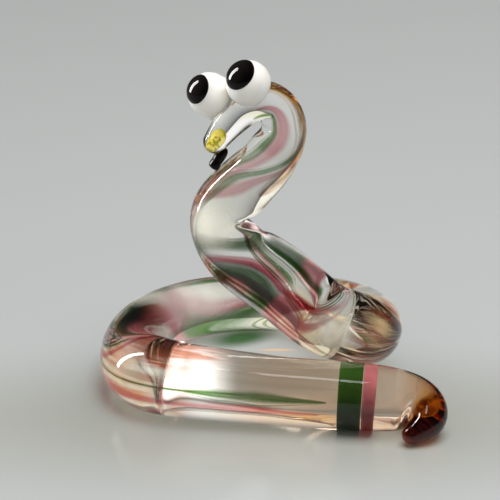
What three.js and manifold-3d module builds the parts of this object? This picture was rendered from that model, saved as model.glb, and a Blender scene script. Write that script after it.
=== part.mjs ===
// Lampworked glass snake: a clear rod lies in one coil, rises across itself and draws out into a neck,
// head and snout. Coloured threads are sunk flush in its skin, two bands wrap the tail, an amber gather
// hooks round at the tail's end, and bead eyes, a yellow mouth core and a forked tongue finish the head.
// Millimetres, +Z up, +Y away from the viewer, origin on the table under the middle of the figure.

import * as THREE from 'three';
import { mergeVertices } from 'three/addons/utils/BufferGeometryUtils.js';
import Module from 'manifold-3d';

// Gap kept between two pieces of glass that are melted together, and the slope of a groove's walls
const FUSE_GAP = 0.25;
const WALL_DRAFT = 0.08;

// Rod radii, from the tail to the snout
const TAIL_TIP_RADIUS = 1.25;
const TAIL_RADIUS = 4.1;
const ROD_RADIUS = 4.4;
const LEFT_RADIUS = 5;
const REAR_RADIUS = 3.8;
const SWELL_RADIUS = 4.75;
const SHOULDER_RADIUS = 4.25;
const NECK_RADIUS = 3.5;
const CREST_RADIUS = 2.75;
const HEAD_RADIUS = 2.6;
const SNOUT_RADIUS = 1.5;

// Coil: the round part runs clockwise, seen from above, from the left bend to the right bend, and is drawn
// deeper at the back than it is wide
const COIL_RADIUS = 15.2;
const COIL_DEPTH = 17.5;
const COIL_FROM_DEGREES = 183;
const COIL_TO_DEGREES = -18;
const COIL_LIFTS = [0, 0, 0, 0.2, 1.0, 2.4, 4.55];
const FOOT_DEPTH = 0.3;

// Front leg: from the left bend to the tail, nearly straight
const FRONT_LEFT_DEGREES = 216;
const FRONT_LEFT_FLARE = 0.2;
const FRONT_MID_X = 3;
const FRONT_MID_TUCK = 2.2;
const TAIL_ROOT_X = 17.8;
const TAIL_FLARE = 0.5;

// Tail hook: turns right, towards the viewer, and tapers to a round nub
const HOOK_LEAD = 2.2;
const HOOK_RADIUS = 2.4;
const HOOK_DEGREES = [60, 10, -40, -88];
const TAIL_LIFT = 0.25;
const TAIL_JOINT = 7;

// Rise: where the rod crosses over its own front leg, and the points that it climbs through from there,
// measured from the rod's middle at the crossing
const CROSSING_X = 9.5;
const CROSSING_GAP = 0.9;
const CROSSING_LEAN_DEGREES = 51;
const RISE_MID = [-6, 0.8, 4.9];
const RISE_TOP = [-11.3, 0.8, 9.1];
const SHOULDER = [-13, 1.5, 13.4];
const NECK_LOW = [-10.75, 1.7, 16.8];
const NECK_MID = [-7.25, 2.3, 20.3];
const NECK_TOP = [-5.35, 3.2, 24.5];
const CREST = [-7, 3, 27.8];
const HEAD = [-9.9, 1.5, 27.9];
const SNOUT_ROOT = [-12.1, -0.1, 26.1];
const SNOUT_TIP = [-13.8, -1.4, 24.1];

// Spine sampling, and how much of a bend's inner side a section may fill before it creases
const SPINE_STEPS = 600;
const SMOOTHING_PASSES = 40;
const TWIST_PASSES = 200;
const CREASE_SHARE = 0.9;
const CREASE_POWER = 4;

// Rings of the loft: the longest step, the most bend and twist in a step, and the room round an exact ring
const RING_STEP = 3.6;
const RING_BEND_DEGREES = 17;
const RING_TWIST_DEGREES = 26;
const RING_ROOM = 0.5;
const RING_LEAST = 0.04;
const SKIN_STEP_DEGREES = 25;
const END_STEPS = 3;
const TAIL_SIDES = 20;
const CUTTER_SIDES = 32;

// Threads sunk in the skin: where the long pair, the rising pair and the neck's thread start along the rod
// from the tail, how far short of the snout they end, and how much shorter a pink one is at each end
const THREAD_THICKNESS = 0.45;
const THREAD_RAMP = 0.6;
const LONG_START = 19.2;
const LONG_HEAD_ROOM = 29;
const RISING_START = 40;
const RISING_HEAD_ROOM = 9.5;
const NECK_START = 141;
const NECK_HEAD_ROOM = 9;
const PINK_STAGGER = 1;

// Angles round the rod from the wide green thread, and widths, in degrees of the round
const GREEN_A = { angle: 0, width: 18 };
const GREEN_B = { angle: 228, width: 16 };
const PINK_B = { angle: 254, width: 18 };
const AMBER_THREAD = { angle: 318, width: 14 };
const PINK_A = { angle: 334, width: 18 };

// Twist of the threads: places along the rod from the tail, and the degrees turned there
const TWIST_PLACES = [18.8, 33, 45, 51, 57.5, 64, 73.5, 78.5, 84.5, 112, 121, 131, 134, 141, 144];
const TWIST_DEGREES = [-34, -34, -40, -20, 23, 53, 54, 66, 75, 232, 231, 226, 212, 20, 6];

// Bands wrapped round the tail, the pink one nearer to the tail's end
const BAND_THICKNESS = 0.45;
const BAND_START = 11.5;
const PINK_BAND_WIDTH = 1.3;
const GREEN_BAND_WIDTH = 2.3;
const BAND_WALL = 0.4;
const BAND_SIDES = 30;

// Yellow core in the snout, with clear glass round it
const SNOUT_WALL = 0.4;
const CORE_LENGTH = 3.2;
const CORE_SIDES = 14;
const CORE_STEPS = 3;

// Bead eyes: both sit at one place on the head, side by side over it
const EYE_RADIUS = 2.75;
const EYE_SPACE = 0.4;
const EYE_SINK = 0.75;
const EYE_FROM_TIP = 5;
const EYE_UP = [-0.42, 0.03, 0.91];
const EYE_RIGHTWARD = [-0.82, 0.42, -0.39];
const EYE_SIDES = 20;
const EYE_STEPS = 8;

// Pupils: domed dots seated on the beads
const PUPIL_RIM = 0.12;
const PUPIL_DOME = 0.45;
const PUPIL_SIDES = 18;
const PUPIL_STEPS = 4;
const PUPIL_LEFT = { look: [-0.52, -0.64, 0.57], halfDegrees: 41 };
const PUPIL_RIGHT = { look: [-0.52, -0.73, 0.45], halfDegrees: 36 };

// Tongue: hangs from under the snout's tip and forks at its end
const TONGUE_BACK = 1.7;
const TONGUE_CHIN = [0.75, -0.1, -0.65];
const TONGUE_HANG = [-0.53, -0.2, -0.82];
const TONGUE_LENGTH = 2.3;
const TONGUE_ROOT_RADIUS = 0.88;
const TONGUE_END_RADIUS = 0.62;
const TONGUE_TIP_LENGTH = 0.55;
const TONGUE_TIP_RADIUS = 0.5;
const TONGUE_FORK_DEGREES = 34;
const TONGUE_SIDES = 12;
const TONGUE_STEPS = 3;

// Glass colours and finish
const GLASS_ROUGHNESS = 0.05;
const CLEAR = '#dfe3d8';
const GREEN = '#1f5513';
const PINK = '#b06a74';
const AMBER = '#b9802f';
const BROWN = '#7a3a12';
const YELLOW = '#e9dc6a';
const WHITE = '#eceae6';
const BLACK = '#060606';

const FULL_TURN = Math.PI * 2;
const RIGHT_ANGLE = Math.PI / 2;
const HALF = 0.5;
const MERGE_DISTANCE = 1e-4;
const { degToRad, lerp, clamp } = THREE.MathUtils;
const wasm = await Module();
wasm.setup();

// The five threads in order round the rod
const THREADS = [
  { name: 'green_stripe_a', colour: GREEN, ...GREEN_A, start: LONG_START, headRoom: LONG_HEAD_ROOM },
  { name: 'green_stripe_b', colour: GREEN, ...GREEN_B, start: RISING_START, headRoom: RISING_HEAD_ROOM },
  { name: 'pink_stripe_b', colour: PINK, ...PINK_B, ...staggered(RISING_START, RISING_HEAD_ROOM) },
  { name: 'amber_stripe', colour: AMBER, ...AMBER_THREAD, start: NECK_START, headRoom: NECK_HEAD_ROOM },
  { name: 'pink_stripe_a', colour: PINK, ...PINK_A, ...staggered(LONG_START, LONG_HEAD_ROOM) },
];

function staggered(start, headRoom) {
  return { start: start + PINK_STAGGER, headRoom: headRoom + PINK_STAGGER };
}

function vector(xyz) {
  return new THREE.Vector3(...xyz);
}

function roundCentre(radius, degrees, height) {
  const angle = degToRad(degrees);
  return new THREE.Vector3(radius * Math.cos(angle), radius * Math.sin(angle), height);
}

// Points that the centre line passes through, from the tail's nub to the snout, each with the rod's radius
function spineKnots() {
  const lying = ROD_RADIUS - FOOT_DEPTH;
  const root = new THREE.Vector3(TAIL_ROOT_X, -COIL_RADIUS - TAIL_FLARE, TAIL_RADIUS);
  const front = new THREE.Vector3(FRONT_MID_X, FRONT_MID_TUCK - COIL_RADIUS, lying);
  const knots = [];

  const hook = new THREE.Vector3(root.x + HOOK_LEAD, root.y - HOOK_RADIUS, 0);
  HOOK_DEGREES.forEach((degrees, index) => {
    const radius = lerp(TAIL_RADIUS, TAIL_TIP_RADIUS, (index + 1) / HOOK_DEGREES.length);
    knots.unshift({ at: roundCentre(HOOK_RADIUS, degrees, radius + TAIL_LIFT).add(hook), radius });
  });
  knots.push({ at: root, radius: TAIL_RADIUS });
  knots.push({ at: root.clone().lerp(front, HALF).setZ(lying), radius: ROD_RADIUS });
  knots.push({ at: front, radius: ROD_RADIUS });
  const flared = COIL_RADIUS + FRONT_LEFT_FLARE;
  knots.push({ at: roundCentre(flared, FRONT_LEFT_DEGREES, LEFT_RADIUS - FOOT_DEPTH), radius: LEFT_RADIUS });

  const last = COIL_LIFTS.length - 1;
  COIL_LIFTS.forEach((lift, index) => {
    const degrees = lerp(COIL_FROM_DEGREES, COIL_TO_DEGREES, index / last);
    const halves = 2 * index / last;
    const thinning = lerp(ROD_RADIUS, REAR_RADIUS, clamp(halves, 0, 1));
    const radius = lerp(thinning, SWELL_RADIUS, clamp(halves - 1, 0, 1));
    const at = roundCentre(COIL_RADIUS, degrees, radius - FOOT_DEPTH + lift);
    if (at.y > 0) at.y *= COIL_DEPTH / COIL_RADIUS;
    knots.push({ at, radius });
  });

  // The crossing leans back over the front leg, clear of it by the crossing gap
  const under = front.clone().lerp(root, (CROSSING_X - front.x) / (root.x - front.x));
  const reach = ROD_RADIUS + SWELL_RADIUS + CROSSING_GAP;
  const lean = degToRad(CROSSING_LEAN_DEGREES);
  const over = new THREE.Vector3(CROSSING_X, under.y, lying);
  over.y += reach * Math.cos(lean);
  over.z += reach * Math.sin(lean);
  knots.push({ at: over, radius: SWELL_RADIUS });
  const climb = (step, radius) => knots.push({ at: vector(step).add(over), radius });
  climb(RISE_MID, SWELL_RADIUS);
  climb(RISE_TOP, lerp(SWELL_RADIUS, SHOULDER_RADIUS, HALF));
  climb(SHOULDER, SHOULDER_RADIUS);
  climb(NECK_LOW, lerp(SHOULDER_RADIUS, NECK_RADIUS, HALF));
  climb(NECK_MID, NECK_RADIUS);
  climb(NECK_TOP, lerp(NECK_RADIUS, CREST_RADIUS, HALF));
  climb(CREST, CREST_RADIUS);
  climb(HEAD, HEAD_RADIUS);
  climb(SNOUT_ROOT, lerp(HEAD_RADIUS, SNOUT_RADIUS, HALF));
  climb(SNOUT_TIP, SNOUT_RADIUS);
  return knots;
}

// Degrees that the threads have turned at a place along the rod
function twistAt(along) {
  const last = TWIST_PLACES.length - 1;
  if (along <= TWIST_PLACES[0]) return TWIST_DEGREES[0];
  if (along >= TWIST_PLACES[last]) return TWIST_DEGREES[last];
  const next = TWIST_PLACES.findIndex((place) => place > along);
  const part = (along - TWIST_PLACES[next - 1]) / (TWIST_PLACES[next] - TWIST_PLACES[next - 1]);
  return lerp(TWIST_DEGREES[next - 1], TWIST_DEGREES[next], part);
}

// One averaging pass along a list, its ends held
function averaged(values, halfway) {
  return values.map((value, index) => {
    if (index === 0 || index === values.length - 1) return value;
    return halfway(halfway(values[index - 1], values[index + 1]), value);
  });
}

// The centre line in many small steps, each with the rod's radius, twist and a frame that doesn't spin
function traceSpine() {
  const knots = spineKnots();
  const curve = new THREE.CatmullRomCurve3(knots.map((knot) => knot.at), false, 'centripetal');
  curve.arcLengthDivisions = SPINE_STEPS * 2;
  let centres = [];
  let radii = [];
  for (let step = 0; step <= SPINE_STEPS; step++) {
    const t = curve.getUtoTmapping(step / SPINE_STEPS);
    const knot = Math.min(Math.floor(t * (knots.length - 1)), knots.length - 2);
    const part = t * (knots.length - 1) - knot;
    centres.push(curve.getPoint(t));
    radii.push(lerp(knots[knot].radius, knots[knot + 1].radius, part));
  }
  for (let pass = 0; pass < SMOOTHING_PASSES; pass++) {
    centres = averaged(centres, (a, b) => a.clone().lerp(b, HALF));
    radii = averaged(radii, (a, b) => lerp(a, b, HALF));
  }

  const places = [0];
  for (let step = 1; step <= SPINE_STEPS; step++) {
    places.push(places[step - 1] + centres[step].distanceTo(centres[step - 1]));
  }
  let twists = places.map((along) => degToRad(twistAt(along)));
  for (let pass = 0; pass < TWIST_PASSES; pass++) {
    twists = averaged(twists, (a, b) => lerp(a, b, HALF));
  }

  const before = (step) => Math.max(step - 1, 0);
  const after = (step) => Math.min(step + 1, SPINE_STEPS);
  const chord = (step) => centres[after(step)].clone().sub(centres[before(step)]);
  const tangents = centres.map((_, step) => chord(step).normalize());
  const normal = new THREE.Vector3(0, 0, 1);
  return centres.map((centre, step) => {
    const tangent = tangents[step];
    const bend = tangents[after(step)].clone().sub(tangents[before(step)]);
    bend.divideScalar(places[after(step)] - places[before(step)]);
    normal.addScaledVector(tangent, -normal.dot(tangent)).normalize();
    const first = normal.clone();
    const second = tangent.clone().cross(first);
    const turned = { along: places[step], radius: radii[step], twist: twists[step] };
    return { ...turned, centre, tangent, bend, first, second };
  });
}

const spine = traceSpine();
const spineLength = spine[spine.length - 1].along;

// The spine's values at any place along it
function spineAt(along) {
  const place = clamp(along, 0, spineLength);
  const after = Math.max(1, spine.findIndex((sample) => sample.along >= place));
  const a = spine[after - 1];
  const b = spine[after];
  const part = (place - a.along) / (b.along - a.along);
  return {
    along: place,
    centre: a.centre.clone().lerp(b.centre, part),
    radius: lerp(a.radius, b.radius, part),
    twist: lerp(a.twist, b.twist, part),
    tangent: a.tangent.clone().lerp(b.tangent, part).normalize(),
    bend: a.bend.clone().lerp(b.bend, part),
    first: a.first.clone().lerp(b.first, part).normalize(),
    second: a.second.clone().lerp(b.second, part).normalize(),
  };
}

// A point of a round section: the inner side of a tight bend is pressed flat so that it never folds,
// and whatever would lie under the table is ground flat
function sectionPoint(at, angle, radius) {
  const offset = at.first.clone().multiplyScalar(radius * Math.cos(angle));
  offset.addScaledVector(at.second, radius * Math.sin(angle));
  const curvature = at.bend.length();
  const inward = offset.dot(at.bend);
  if (inward > 0) {
    const reach = inward / curvature;
    const limit = CREASE_SHARE / curvature;
    const pressed = reach / (1 + (reach / limit) ** CREASE_POWER) ** (1 / CREASE_POWER);
    offset.addScaledVector(at.bend, (pressed - reach) / curvature);
  }
  const point = at.centre.clone().add(offset);
  point.z = Math.max(point.z, 0);
  return point;
}

// Places for the loft's rings: crowded where the rod bends or twists, with exact rings at the given places
function ringPlaces(from, to, exact = []) {
  const fixed = [from, to, ...exact.filter((place) => place > from && place < to)];
  const places = [];
  let measure = 0;
  for (let step = 1; step < spine.length; step++) {
    const here = spine[step];
    const last = spine[step - 1];
    const length = (here.along - last.along) / RING_STEP;
    const bend = here.tangent.angleTo(last.tangent) / degToRad(RING_BEND_DEGREES);
    const twist = (here.twist - last.twist) / degToRad(RING_TWIST_DEGREES);
    const next = measure + Math.hypot(length, bend, twist);
    const roomy = fixed.every((other) => Math.abs(other - here.along) > RING_ROOM);
    const inside = here.along > from && here.along < to;
    if (Math.floor(next) > Math.floor(measure) && inside && roomy) places.push(here.along);
    measure = next;
  }
  fixed.sort((a, b) => a - b);
  const apart = fixed.filter((place, index) => index === 0 || place - fixed[index - 1] > RING_LEAST);
  return [...places, ...apart].sort((a, b) => a - b);
}

// A closed skin over rings of equal counts, each patch split along its shorter diagonal; poles close the
// ends, and without poles the rings close a loop
function skin(rings, poles) {
  const count = rings[0].length;
  const points = rings.flat();
  const faces = [];
  const rows = poles ? rings.length - 1 : rings.length;
  for (let row = 0; row < rows; row++) {
    const here = row * count;
    const there = ((row + 1) % rings.length) * count;
    for (let side = 0; side < count; side++) {
      const next = (side + 1) % count;
      const rising = points[here + side].distanceTo(points[there + next]);
      const falling = points[here + next].distanceTo(points[there + side]);
      if (rising < falling) {
        faces.push(here + side, here + next, there + next);
        faces.push(here + side, there + next, there + side);
      } else {
        faces.push(here + side, here + next, there + side);
        faces.push(here + next, there + next, there + side);
      }
    }
  }
  if (poles) {
    const first = points.push(poles[0]) - 1;
    const last = points.push(poles[1]) - 1;
    const end = (rings.length - 1) * count;
    for (let side = 0; side < count; side++) {
      const next = (side + 1) % count;
      faces.push(first, next, side);
      faces.push(last, end + side, end + next);
    }
  }
  const geometry = new THREE.BufferGeometry();
  geometry.setAttribute('position', new THREE.Float32BufferAttribute(points.flatMap((p) => p.toArray()), 3));
  geometry.setIndex(faces);
  return geometry;
}

// The spine's values moved out on to a round end: way is 1 past the snout and -1 past the tail, and the
// angle runs from a right angle at the end's widest ring to 0 at its pole
function onRoundEnd(at, way, angle) {
  const centre = at.centre.clone().addScaledVector(at.tangent, way * at.radius * Math.cos(angle));
  return { ...at, centre, radius: at.radius * Math.sin(angle) };
}

function evenAngles(sides) {
  return Array.from({ length: sides }, (_, side) => side / sides * FULL_TURN);
}

function roundRing(at, sides) {
  return evenAngles(sides).map((angle) => sectionPoint(at, angle, at.radius));
}

// Where each thread starts and ends along the rod
function threadRun(thread) {
  return { from: thread.start, to: spineLength - thread.headRoom };
}

// Depth of a thread's groove at a place: ramps lead in and out at its ends
function threadDepth(thread, along) {
  const { from, to } = threadRun(thread);
  const inside = Math.min(along - from, to - along) / THREAD_RAMP + 1;
  return clamp(inside, 0, 1) * (THREAD_THICKNESS + FUSE_GAP);
}

const pinkBand = { from: BAND_START, to: BAND_START + PINK_BAND_WIDTH };
const greenStart = pinkBand.to + FUSE_GAP + BAND_WALL + FUSE_GAP;
const greenBand = { from: greenStart, to: greenStart + GREEN_BAND_WIDTH };
const bands = [pinkBand, greenBand];

// Places where a band's groove steps down and up again
function bandSteps({ from, to }) {
  const low = from - FUSE_GAP;
  const high = to + FUSE_GAP;
  return [low - WALL_DRAFT, low, high, high + WALL_DRAFT];
}

function bandDepth(along) {
  const room = FUSE_GAP + WALL_DRAFT * HALF;
  const inside = bands.some(({ from, to }) => along > from - room && along < to + room);
  return inside ? BAND_THICKNESS + FUSE_GAP : 0;
}

// One ring of the rod: every thread keeps its five groove points, sunk only where the thread runs
function rodRing(at) {
  const edge = at.radius - bandDepth(at.along);
  const draft = WALL_DRAFT / at.radius;
  const halfGroove = (thread) => degToRad(thread.width) * HALF + FUSE_GAP / at.radius;
  const ring = [];
  THREADS.forEach((thread, index) => {
    const middle = degToRad(thread.angle) + at.twist;
    const half = halfGroove(thread);
    const floor = Math.min(edge, at.radius - threadDepth(thread, at.along));
    ring.push(sectionPoint(at, middle - half, edge));
    ring.push(sectionPoint(at, middle - half + draft, floor));
    ring.push(sectionPoint(at, middle, floor));
    ring.push(sectionPoint(at, middle + half - draft, floor));
    ring.push(sectionPoint(at, middle + half, edge));

    // Plain skin up to the next thread's groove
    const next = THREADS[(index + 1) % THREADS.length];
    const ahead = degToRad(next.angle - thread.angle) + (next.angle < thread.angle ? FULL_TURN : 0);
    const plain = ahead - degToRad(thread.width + next.width) * HALF;
    const fills = Math.floor(plain / degToRad(SKIN_STEP_DEGREES));
    for (let fill = 1; fill <= fills; fill++) {
      const angle = lerp(middle + half, middle + ahead - halfGroove(next), fill / (fills + 1));
      ring.push(sectionPoint(at, angle, edge));
    }
  });
  return ring;
}

const threadSteps = THREADS.flatMap((thread) => {
  const { from, to } = threadRun(thread);
  return [from - THREAD_RAMP, from, to, to + THREAD_RAMP];
});
const rodPlaces = ringPlaces(TAIL_JOINT, spineLength, [...bands.flatMap(bandSteps), ...threadSteps]);
const snout = spineAt(spineLength);
const boreRadius = snout.radius - SNOUT_WALL;
const coreRadius = boreRadius - FUSE_GAP;

// A point on the snout's axis, so far inside its round tip
function snoutAxis(inside) {
  return snout.centre.clone().addScaledVector(snout.tangent, snout.radius - inside);
}

// The clear rod, with a blind bore in the snout for the yellow core
function bodyRod() {
  const rings = rodPlaces.map((along) => rodRing(spineAt(along)));
  const mouth = Math.asin(boreRadius / snout.radius);
  for (let step = 1; step <= END_STEPS; step++) {
    rings.push(rodRing(onRoundEnd(snout, 1, lerp(RIGHT_ANGLE, mouth, step / END_STEPS))));
  }
  const floor = snoutAxis(CORE_LENGTH + FUSE_GAP);
  rings.push(rodRing({ ...snout, centre: floor, radius: boreRadius }));
  return skin(rings, [spineAt(TAIL_JOINT).centre, floor]);
}

// A thread, lofted through the same rings as its groove and set in from the groove's walls
function threadSkin(thread) {
  const run = threadRun(thread);
  const start = run.from + FUSE_GAP;
  const end = run.to - FUSE_GAP;
  const between = rodPlaces.filter((place) => place > start + FUSE_GAP && place < end - FUSE_GAP);
  const rings = [start, ...between, end].map((along) => {
    const at = spineAt(along);
    const middle = degToRad(thread.angle) + at.twist;
    const half = degToRad(thread.width) * HALF;
    const draft = WALL_DRAFT / at.radius;
    const floor = at.radius - THREAD_THICKNESS;
    return [
      sectionPoint(at, middle - half, at.radius),
      sectionPoint(at, middle, at.radius),
      sectionPoint(at, middle + half, at.radius),
      sectionPoint(at, middle + half - draft, floor),
      sectionPoint(at, middle, floor),
      sectionPoint(at, middle - half + draft, floor),
    ];
  });
  const ends = [rings[0], rings[rings.length - 1]];
  return skin(rings, ends.map(([, top, , , bottom]) => top.clone().lerp(bottom, HALF)));
}

// A band wrapped round the tail, a closed ring of four-cornered sections
function bandSkin({ from, to }) {
  const low = spineAt(from);
  const high = spineAt(to);
  const rings = evenAngles(BAND_SIDES).map((angle) => [
    sectionPoint(low, angle, low.radius),
    sectionPoint(low, angle, low.radius - BAND_THICKNESS),
    sectionPoint(high, angle, high.radius - BAND_THICKNESS),
    sectionPoint(high, angle, high.radius),
  ]);
  return skin(rings);
}

// The amber gather that hooks round from the rod's end to a nub
function tailTip() {
  const nub = spineAt(0);
  const joint = TAIL_JOINT - FUSE_GAP;
  const rings = ringPlaces(0, joint).map((along) => roundRing(spineAt(along), TAIL_SIDES));
  for (let step = 1; step < END_STEPS; step++) {
    rings.unshift(roundRing(onRoundEnd(nub, -1, lerp(RIGHT_ANGLE, 0, step / END_STEPS)), TAIL_SIDES));
  }
  return skin(rings, [onRoundEnd(nub, -1, 0).centre, spineAt(joint).centre]);
}

// Stands a lathed piece, made about +Y, on a point with its axis along a direction
function stood(profile, sides, origin, direction) {
  const geometry = new THREE.LatheGeometry(profile, sides);
  geometry.applyQuaternion(new THREE.Quaternion().setFromUnitVectors(new THREE.Vector3(0, 1, 0), direction));
  return geometry.translate(origin.x, origin.y, origin.z);
}

// Points of a round profile, with angles measured up from its widest level
function arcPoints(radius, fromAngle, toAngle, steps, level = 0) {
  return Array.from({ length: steps + 1 }, (_, step) => {
    const angle = lerp(fromAngle, toAngle, step / steps);
    return new THREE.Vector2(radius * Math.cos(angle), level + radius * Math.sin(angle));
  });
}

// Puts a profile's first and last points exactly on the axis
function closed(profile) {
  profile[0].x = 0;
  profile[profile.length - 1].x = 0;
  return profile;
}

// The yellow core: a round-ended plug whose outer end carries on the snout's round tip
function mouthBead() {
  const level = CORE_LENGTH - snout.radius;
  const edge = Math.acos(coreRadius / snout.radius);
  const inner = arcPoints(coreRadius, -RIGHT_ANGLE, 0, CORE_STEPS, coreRadius);
  const outer = arcPoints(snout.radius, edge, RIGHT_ANGLE, CORE_STEPS, level);
  return stood(closed([...inner, ...outer]), CORE_SIDES, snoutAxis(CORE_LENGTH), snout.tangent);
}

// Conversion between geometry and solids that can be joined and cut
function solidOf(geometry) {
  const bare = geometry.clone();
  bare.deleteAttribute('normal');
  bare.deleteAttribute('uv');
  const merged = mergeVertices(bare, MERGE_DISTANCE);
  const triVerts = new Uint32Array(merged.index.array);
  const vertProperties = new Float32Array(merged.attributes.position.array);
  return new wasm.Manifold(new wasm.Mesh({ numProp: 3, vertProperties, triVerts }));
}

function geometryOf(solid) {
  const mesh = solid.getMesh();
  const geometry = new THREE.BufferGeometry();
  geometry.setAttribute('position', new THREE.Float32BufferAttribute(mesh.vertProperties, 3));
  geometry.setIndex(Array.from(mesh.triVerts));
  return geometry;
}

const eyeSeat = spineAt(spineLength - EYE_FROM_TIP);
const eyeReach = eyeSeat.radius + EYE_RADIUS - EYE_SINK;
const eyeSpread = Math.asin((EYE_RADIUS + EYE_SPACE * HALF) / eyeReach);

// The head and snout, swollen by the fuse gap, to cut whatever is melted on to them
function headCutter() {
  const swollen = (at) => ({ ...at, radius: at.radius + FUSE_GAP });
  const from = eyeSeat.along - eyeReach - EYE_RADIUS;
  const tip = swollen(snout);
  const places = ringPlaces(from, spineLength);
  const rings = places.map((along) => roundRing(swollen(spineAt(along)), CUTTER_SIDES));
  for (let step = 1; step < END_STEPS; step++) {
    rings.push(roundRing(onRoundEnd(tip, 1, lerp(RIGHT_ANGLE, 0, step / END_STEPS)), CUTTER_SIDES));
  }
  return solidOf(skin(rings, [spineAt(from).centre, onRoundEnd(tip, 1, 0).centre]));
}

const cutter = headCutter();

// Direction from the head's middle to an eye: side is 1 for the right eye and -1 for the left
function eyeDirection(side) {
  const direction = vector(EYE_UP).normalize().multiplyScalar(Math.cos(eyeSpread));
  return direction.addScaledVector(vector(EYE_RIGHTWARD).normalize(), side * Math.sin(eyeSpread)).normalize();
}

function eyeCentre(side) {
  return eyeSeat.centre.clone().addScaledVector(eyeDirection(side), eyeReach);
}

// A bead that runs down in a cone to the head, cut to sit on it
function eyeBead(side) {
  const cone = Math.asin(EYE_RADIUS / eyeReach);
  const profile = [new THREE.Vector2(0, -eyeReach), ...arcPoints(EYE_RADIUS, -cone, RIGHT_ANGLE, EYE_STEPS)];
  const bead = stood(closed(profile), EYE_SIDES, eyeCentre(side), eyeDirection(side));
  return geometryOf(solidOf(bead).subtract(cutter));
}

// A domed dot: a dish that follows the bead, with a thin rim and a fuller middle
function pupilDot(side, { look, halfDegrees }) {
  const seat = EYE_RADIUS + FUSE_GAP;
  const edge = RIGHT_ANGLE - degToRad(halfDegrees);
  const dish = arcPoints(seat, RIGHT_ANGLE, edge, PUPIL_STEPS);
  const dome = arcPoints(1, edge, RIGHT_ANGLE, PUPIL_STEPS).map((unit, step) => {
    const fullness = Math.sin(step / PUPIL_STEPS * RIGHT_ANGLE);
    return unit.multiplyScalar(seat + lerp(PUPIL_RIM, PUPIL_DOME, fullness));
  });
  return stood(closed([...dish, ...dome]), PUPIL_SIDES, eyeCentre(side), vector(look).normalize());
}

// A tapered rod with round ends
function roundedRod(origin, direction, length, fromRadius, toRadius) {
  const start = arcPoints(fromRadius, -RIGHT_ANGLE, 0, TONGUE_STEPS);
  const end = arcPoints(toRadius, 0, RIGHT_ANGLE, TONGUE_STEPS, length);
  return solidOf(stood(closed([...start, ...end]), TONGUE_SIDES, origin, direction));
}

// The tongue leaves the chin just behind the snout's tip and parts into two round ends
function tongue() {
  const chin = vector(TONGUE_CHIN).projectOnPlane(snout.tangent).normalize();
  const root = snoutAxis(TONGUE_BACK).addScaledVector(chin, snout.radius);
  const hang = vector(TONGUE_HANG).normalize();
  const fork = root.clone().addScaledVector(hang, TONGUE_LENGTH);
  const across = hang.clone().cross(snout.tangent).normalize();
  const stem = roundedRod(root, hang, TONGUE_LENGTH, TONGUE_ROOT_RADIUS, TONGUE_END_RADIUS);
  const forked = [-1, 1].reduce((solid, side) => {
    const parting = Math.tan(degToRad(TONGUE_FORK_DEGREES));
    const way = hang.clone().addScaledVector(across, side * parting).normalize();
    return solid.add(roundedRod(fork, way, TONGUE_TIP_LENGTH, TONGUE_TIP_RADIUS, TONGUE_TIP_RADIUS));
  }, stem);
  return geometryOf(forked.subtract(cutter));
}

function glassMesh(name, colour, geometry) {
  const finish = { color: colour, roughness: GLASS_ROUGHNESS, metalness: 0 };
  const material = new THREE.MeshStandardMaterial(finish);
  geometry.computeVertexNormals();
  const mesh = new THREE.Mesh(geometry, material);
  mesh.name = name;
  return mesh;
}

const snake = new THREE.Group();
snake.add(glassMesh('body_rod', CLEAR, bodyRod()));
for (const thread of THREADS) {
  snake.add(glassMesh(thread.name, thread.colour, threadSkin(thread)));
}
snake.add(glassMesh('pink_tail_band', PINK, bandSkin(pinkBand)));
snake.add(glassMesh('green_tail_band', GREEN, bandSkin(greenBand)));
snake.add(glassMesh('tail_tip', BROWN, tailTip()));
snake.add(glassMesh('mouth_bead', YELLOW, mouthBead()));
snake.add(glassMesh('tongue', BLACK, tongue()));
snake.add(glassMesh('eye_left', WHITE, eyeBead(-1)));
snake.add(glassMesh('eye_right', WHITE, eyeBead(1)));
snake.add(glassMesh('pupil_left', BLACK, pupilDot(-1, PUPIL_LEFT)));
snake.add(glassMesh('pupil_right', BLACK, pupilDot(1, PUPIL_RIGHT)));

// The origin stands on the table under the middle of the figure's box
const box = new THREE.Box3().setFromObject(snake, true);
const boxMiddle = box.getCenter(new THREE.Vector3());
snake.position.set(-boxMiddle.x, -boxMiddle.y, -box.min.z);

export default snake;
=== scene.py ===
from contextlib import contextmanager
from math import cos, pi, radians, sin

import bpy
import numpy as np
from bpy.props import FloatProperty, FloatVectorProperty, PointerProperty
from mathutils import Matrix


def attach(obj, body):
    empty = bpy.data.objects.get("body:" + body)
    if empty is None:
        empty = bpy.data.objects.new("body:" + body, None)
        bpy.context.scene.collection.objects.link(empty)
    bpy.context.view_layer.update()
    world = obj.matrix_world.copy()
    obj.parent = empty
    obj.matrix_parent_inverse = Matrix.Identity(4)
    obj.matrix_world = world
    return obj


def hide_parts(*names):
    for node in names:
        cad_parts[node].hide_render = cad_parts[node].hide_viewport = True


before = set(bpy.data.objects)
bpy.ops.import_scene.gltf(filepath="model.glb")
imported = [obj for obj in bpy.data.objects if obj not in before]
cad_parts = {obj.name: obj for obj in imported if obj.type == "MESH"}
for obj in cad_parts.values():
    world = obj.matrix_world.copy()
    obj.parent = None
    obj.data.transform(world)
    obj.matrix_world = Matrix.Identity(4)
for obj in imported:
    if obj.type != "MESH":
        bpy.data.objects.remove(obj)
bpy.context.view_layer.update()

bl_info = {
    "name": "Glass snake figurine",
    "version": (1, 0, 0),
    "blender": (4, 5, 0),
    "location": "View3D > Sidebar > Snake",
    "description": "Makes a coiled snake of clear lampworked glass with coloured threads and beads",
    "category": "Object",
}

MM = 0.001
POLE_GAP = 1e-7
CHART = "chart"

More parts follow.
